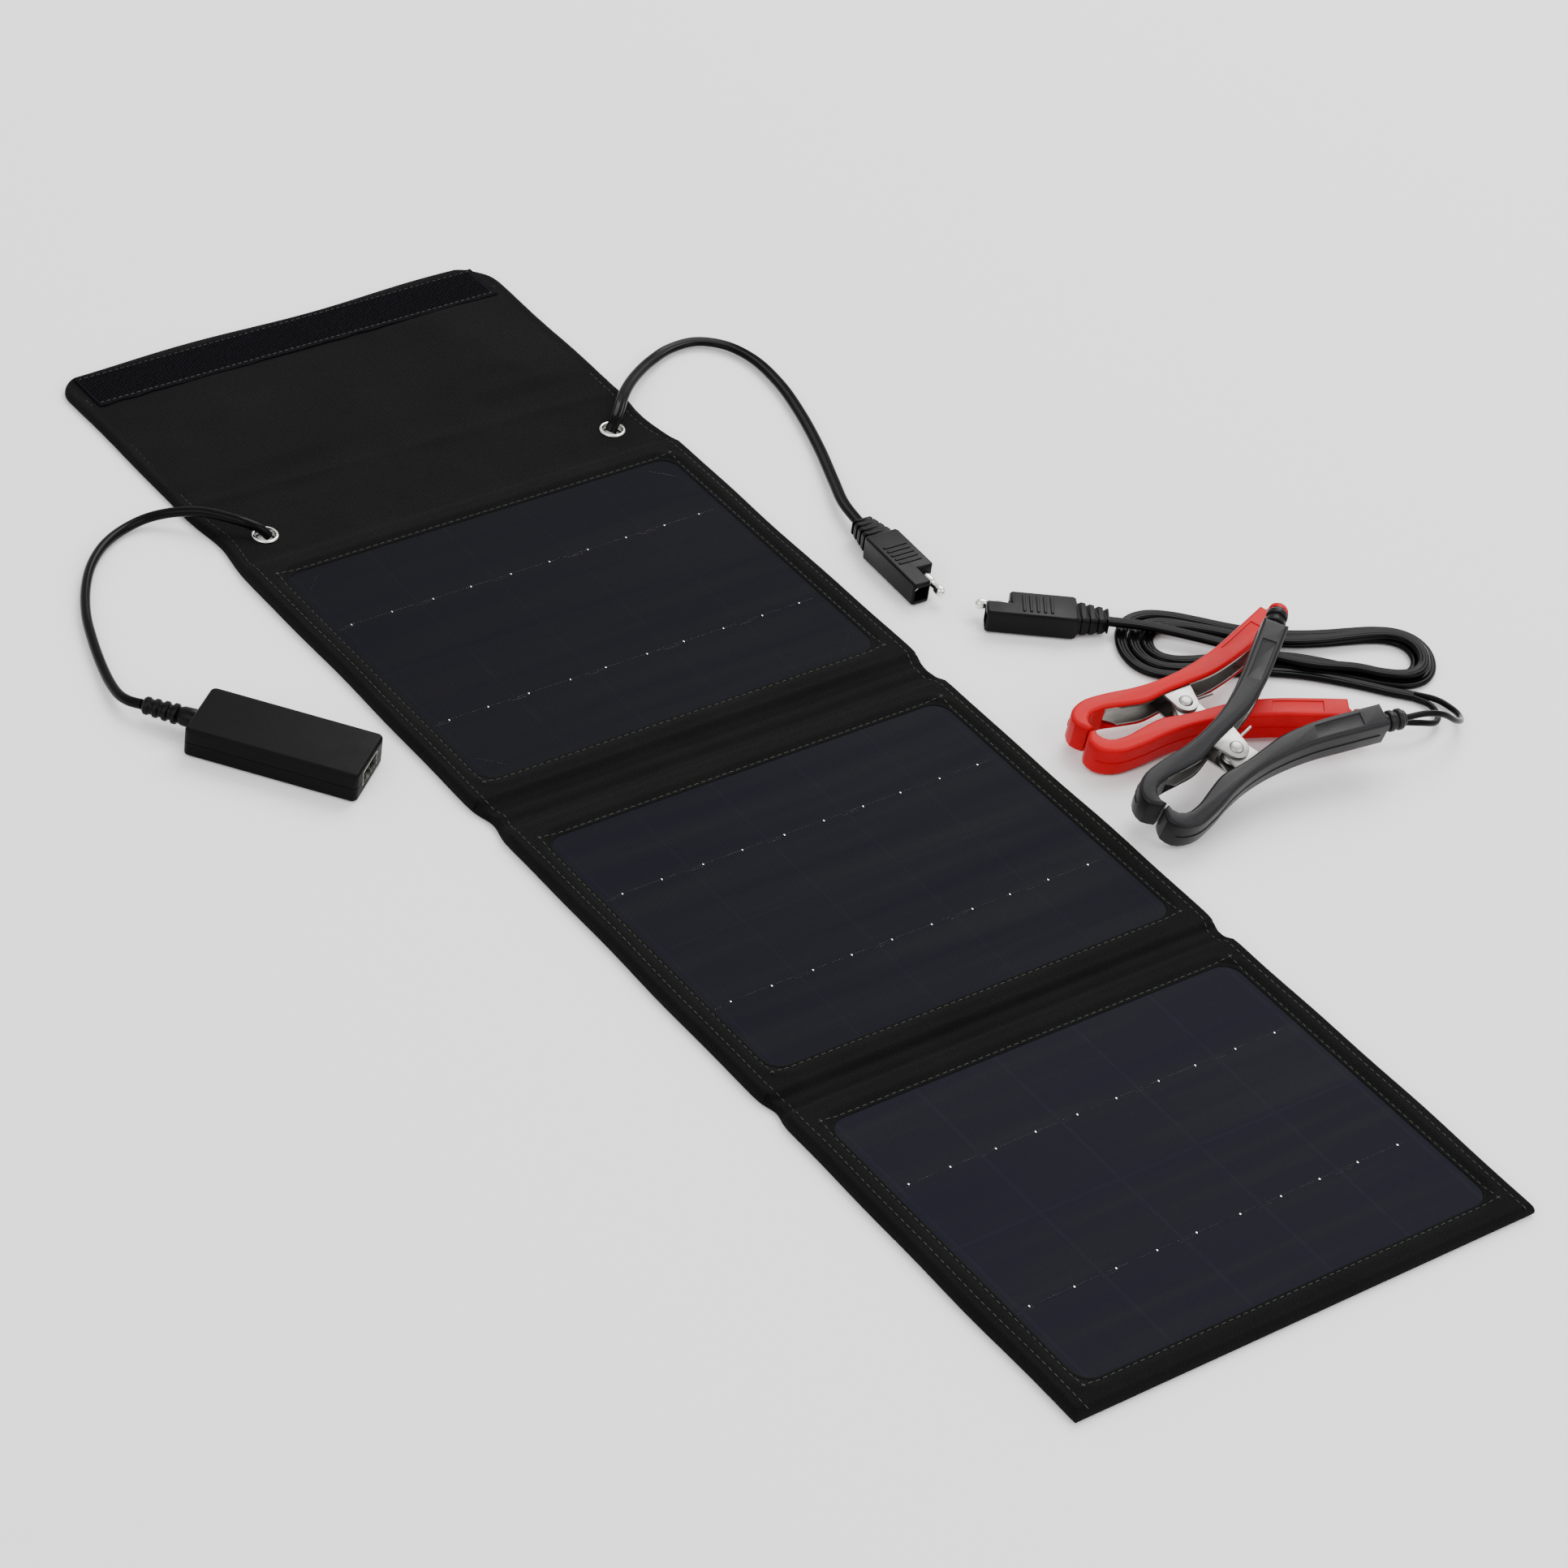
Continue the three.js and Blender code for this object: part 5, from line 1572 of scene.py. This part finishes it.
class CHARGER_OT_leads(bpy.types.Operator):
    """Make the converter box, connectors, clips and the leads that join them."""
    bl_idname = "charger.leads"
    bl_label = "Lay the Leads"
    bl_options = {"REGISTER", "UNDO"}

    def execute(self, context):
        make_cords()
        return {"FINISHED"}


class CHARGER_OT_panel_1(bpy.types.Operator):
    """Make panel 1's cloth and stitching."""
    bl_idname = "charger.panel_1"
    bl_label = "Clothe Panel 1"
    bl_options = {"REGISTER", "UNDO"}

    def execute(self, context):
        make_panel_1()
        return {"FINISHED"}


class CHARGER_OT_panel_2(bpy.types.Operator):
    """Make panel 2's cloth and stitching."""
    bl_idname = "charger.panel_2"
    bl_label = "Clothe Panel 2"
    bl_options = {"REGISTER", "UNDO"}

    def execute(self, context):
        make_panel_2()
        return {"FINISHED"}


class CHARGER_OT_panel_3(bpy.types.Operator):
    """Make panel 3's cloth and stitching."""
    bl_idname = "charger.panel_3"
    bl_label = "Clothe Panel 3"
    bl_options = {"REGISTER", "UNDO"}

    def execute(self, context):
        make_panel_3()
        return {"FINISHED"}


class CHARGER_OT_flap(bpy.types.Operator):
    """Make the closing flap's cloth and stitching."""
    bl_idname = "charger.flap"
    bl_label = "Clothe the Flap"
    bl_options = {"REGISTER", "UNDO"}

    def execute(self, context):
        make_flap()
        return {"FINISHED"}


class CHARGER_OT_tapes(bpy.types.Operator):
    """Make the hook tape and the loop tape."""
    bl_idname = "charger.tapes"
    bl_label = "Sew On the Tapes"
    bl_options = {"REGISTER", "UNDO"}

    def execute(self, context):
        make_tapes()
        return {"FINISHED"}


class CHARGER_OT_laminates(bpy.types.Operator):
    """Finish the laminates, with their ribbons and solder."""
    bl_idname = "charger.laminates"
    bl_label = "Finish the Laminates"
    bl_options = {"REGISTER", "UNDO"}

    def execute(self, context):
        make_laminates()
        return {"FINISHED"}


class CHARGER_OT_eyelets(bpy.types.Operator):
    """Make the two rolled eyelets."""
    bl_idname = "charger.eyelets"
    bl_label = "Set the Eyelets"
    bl_options = {"REGISTER", "UNDO"}

    def execute(self, context):
        make_eyelets()
        return {"FINISHED"}


class CHARGER_OT_wiring(bpy.types.Operator):
    """Make the foil links that cross the spines."""
    bl_idname = "charger.wiring"
    bl_label = "Run the Wiring"
    bl_options = {"REGISTER", "UNDO"}

    def execute(self, context):
        make_wiring()
        return {"FINISHED"}


class CHARGER_OT_stage(bpy.types.Operator):
    """Make the floor and the lights."""
    bl_idname = "charger.stage"
    bl_label = "Light the Stage"
    bl_options = {"REGISTER", "UNDO"}

    def execute(self, context):
        make_stage()
        return {"FINISHED"}


OPERATORS = (CHARGER_OT_camera, CHARGER_OT_finishes, CHARGER_OT_leads,
             CHARGER_OT_panel_1, CHARGER_OT_panel_2, CHARGER_OT_panel_3,
             CHARGER_OT_flap, CHARGER_OT_tapes, CHARGER_OT_laminates,
             CHARGER_OT_eyelets, CHARGER_OT_wiring, CHARGER_OT_stage)


class CHARGER_PT_sidebar(bpy.types.Panel):
    """Lists the steps that build the charger."""
    bl_idname = "CHARGER_PT_sidebar"
    bl_label = "Solar Charger"
    bl_space_type = "VIEW_3D"
    bl_region_type = "UI"
    bl_category = "Solar Charger"

    def draw(self, context):
        for kind in SETTINGS:
            box = self.layout.box()
            for key in SETTINGS[kind].__annotations__:
                box.prop(settings(kind), key)
        for made in OPERATORS:
            self.layout.operator(made.bl_idname)


def register():
    for kind, made in SETTINGS.items():
        bpy.utils.register_class(made)
        setattr(bpy.types.Scene, f"charger_{kind}", bpy.props.PointerProperty(type=made))
    for made in (*OPERATORS, CHARGER_PT_sidebar):
        bpy.utils.register_class(made)


def unregister():
    for made in (CHARGER_PT_sidebar, *reversed(OPERATORS)):
        bpy.utils.unregister_class(made)
    for kind, made in SETTINGS.items():
        delattr(bpy.types.Scene, f"charger_{kind}")
        bpy.utils.unregister_class(made)


def main():
    register()
    bpy.ops.charger.camera()
    bpy.ops.charger.finishes()
    bpy.ops.charger.leads()
    bpy.ops.charger.panel_1()
    bpy.ops.charger.panel_2()
    bpy.ops.charger.panel_3()
    bpy.ops.charger.flap()
    bpy.ops.charger.tapes()
    bpy.ops.charger.laminates()
    bpy.ops.charger.eyelets()
    bpy.ops.charger.wiring()
    bpy.ops.charger.stage()


if __name__ == "__main__":
    main()
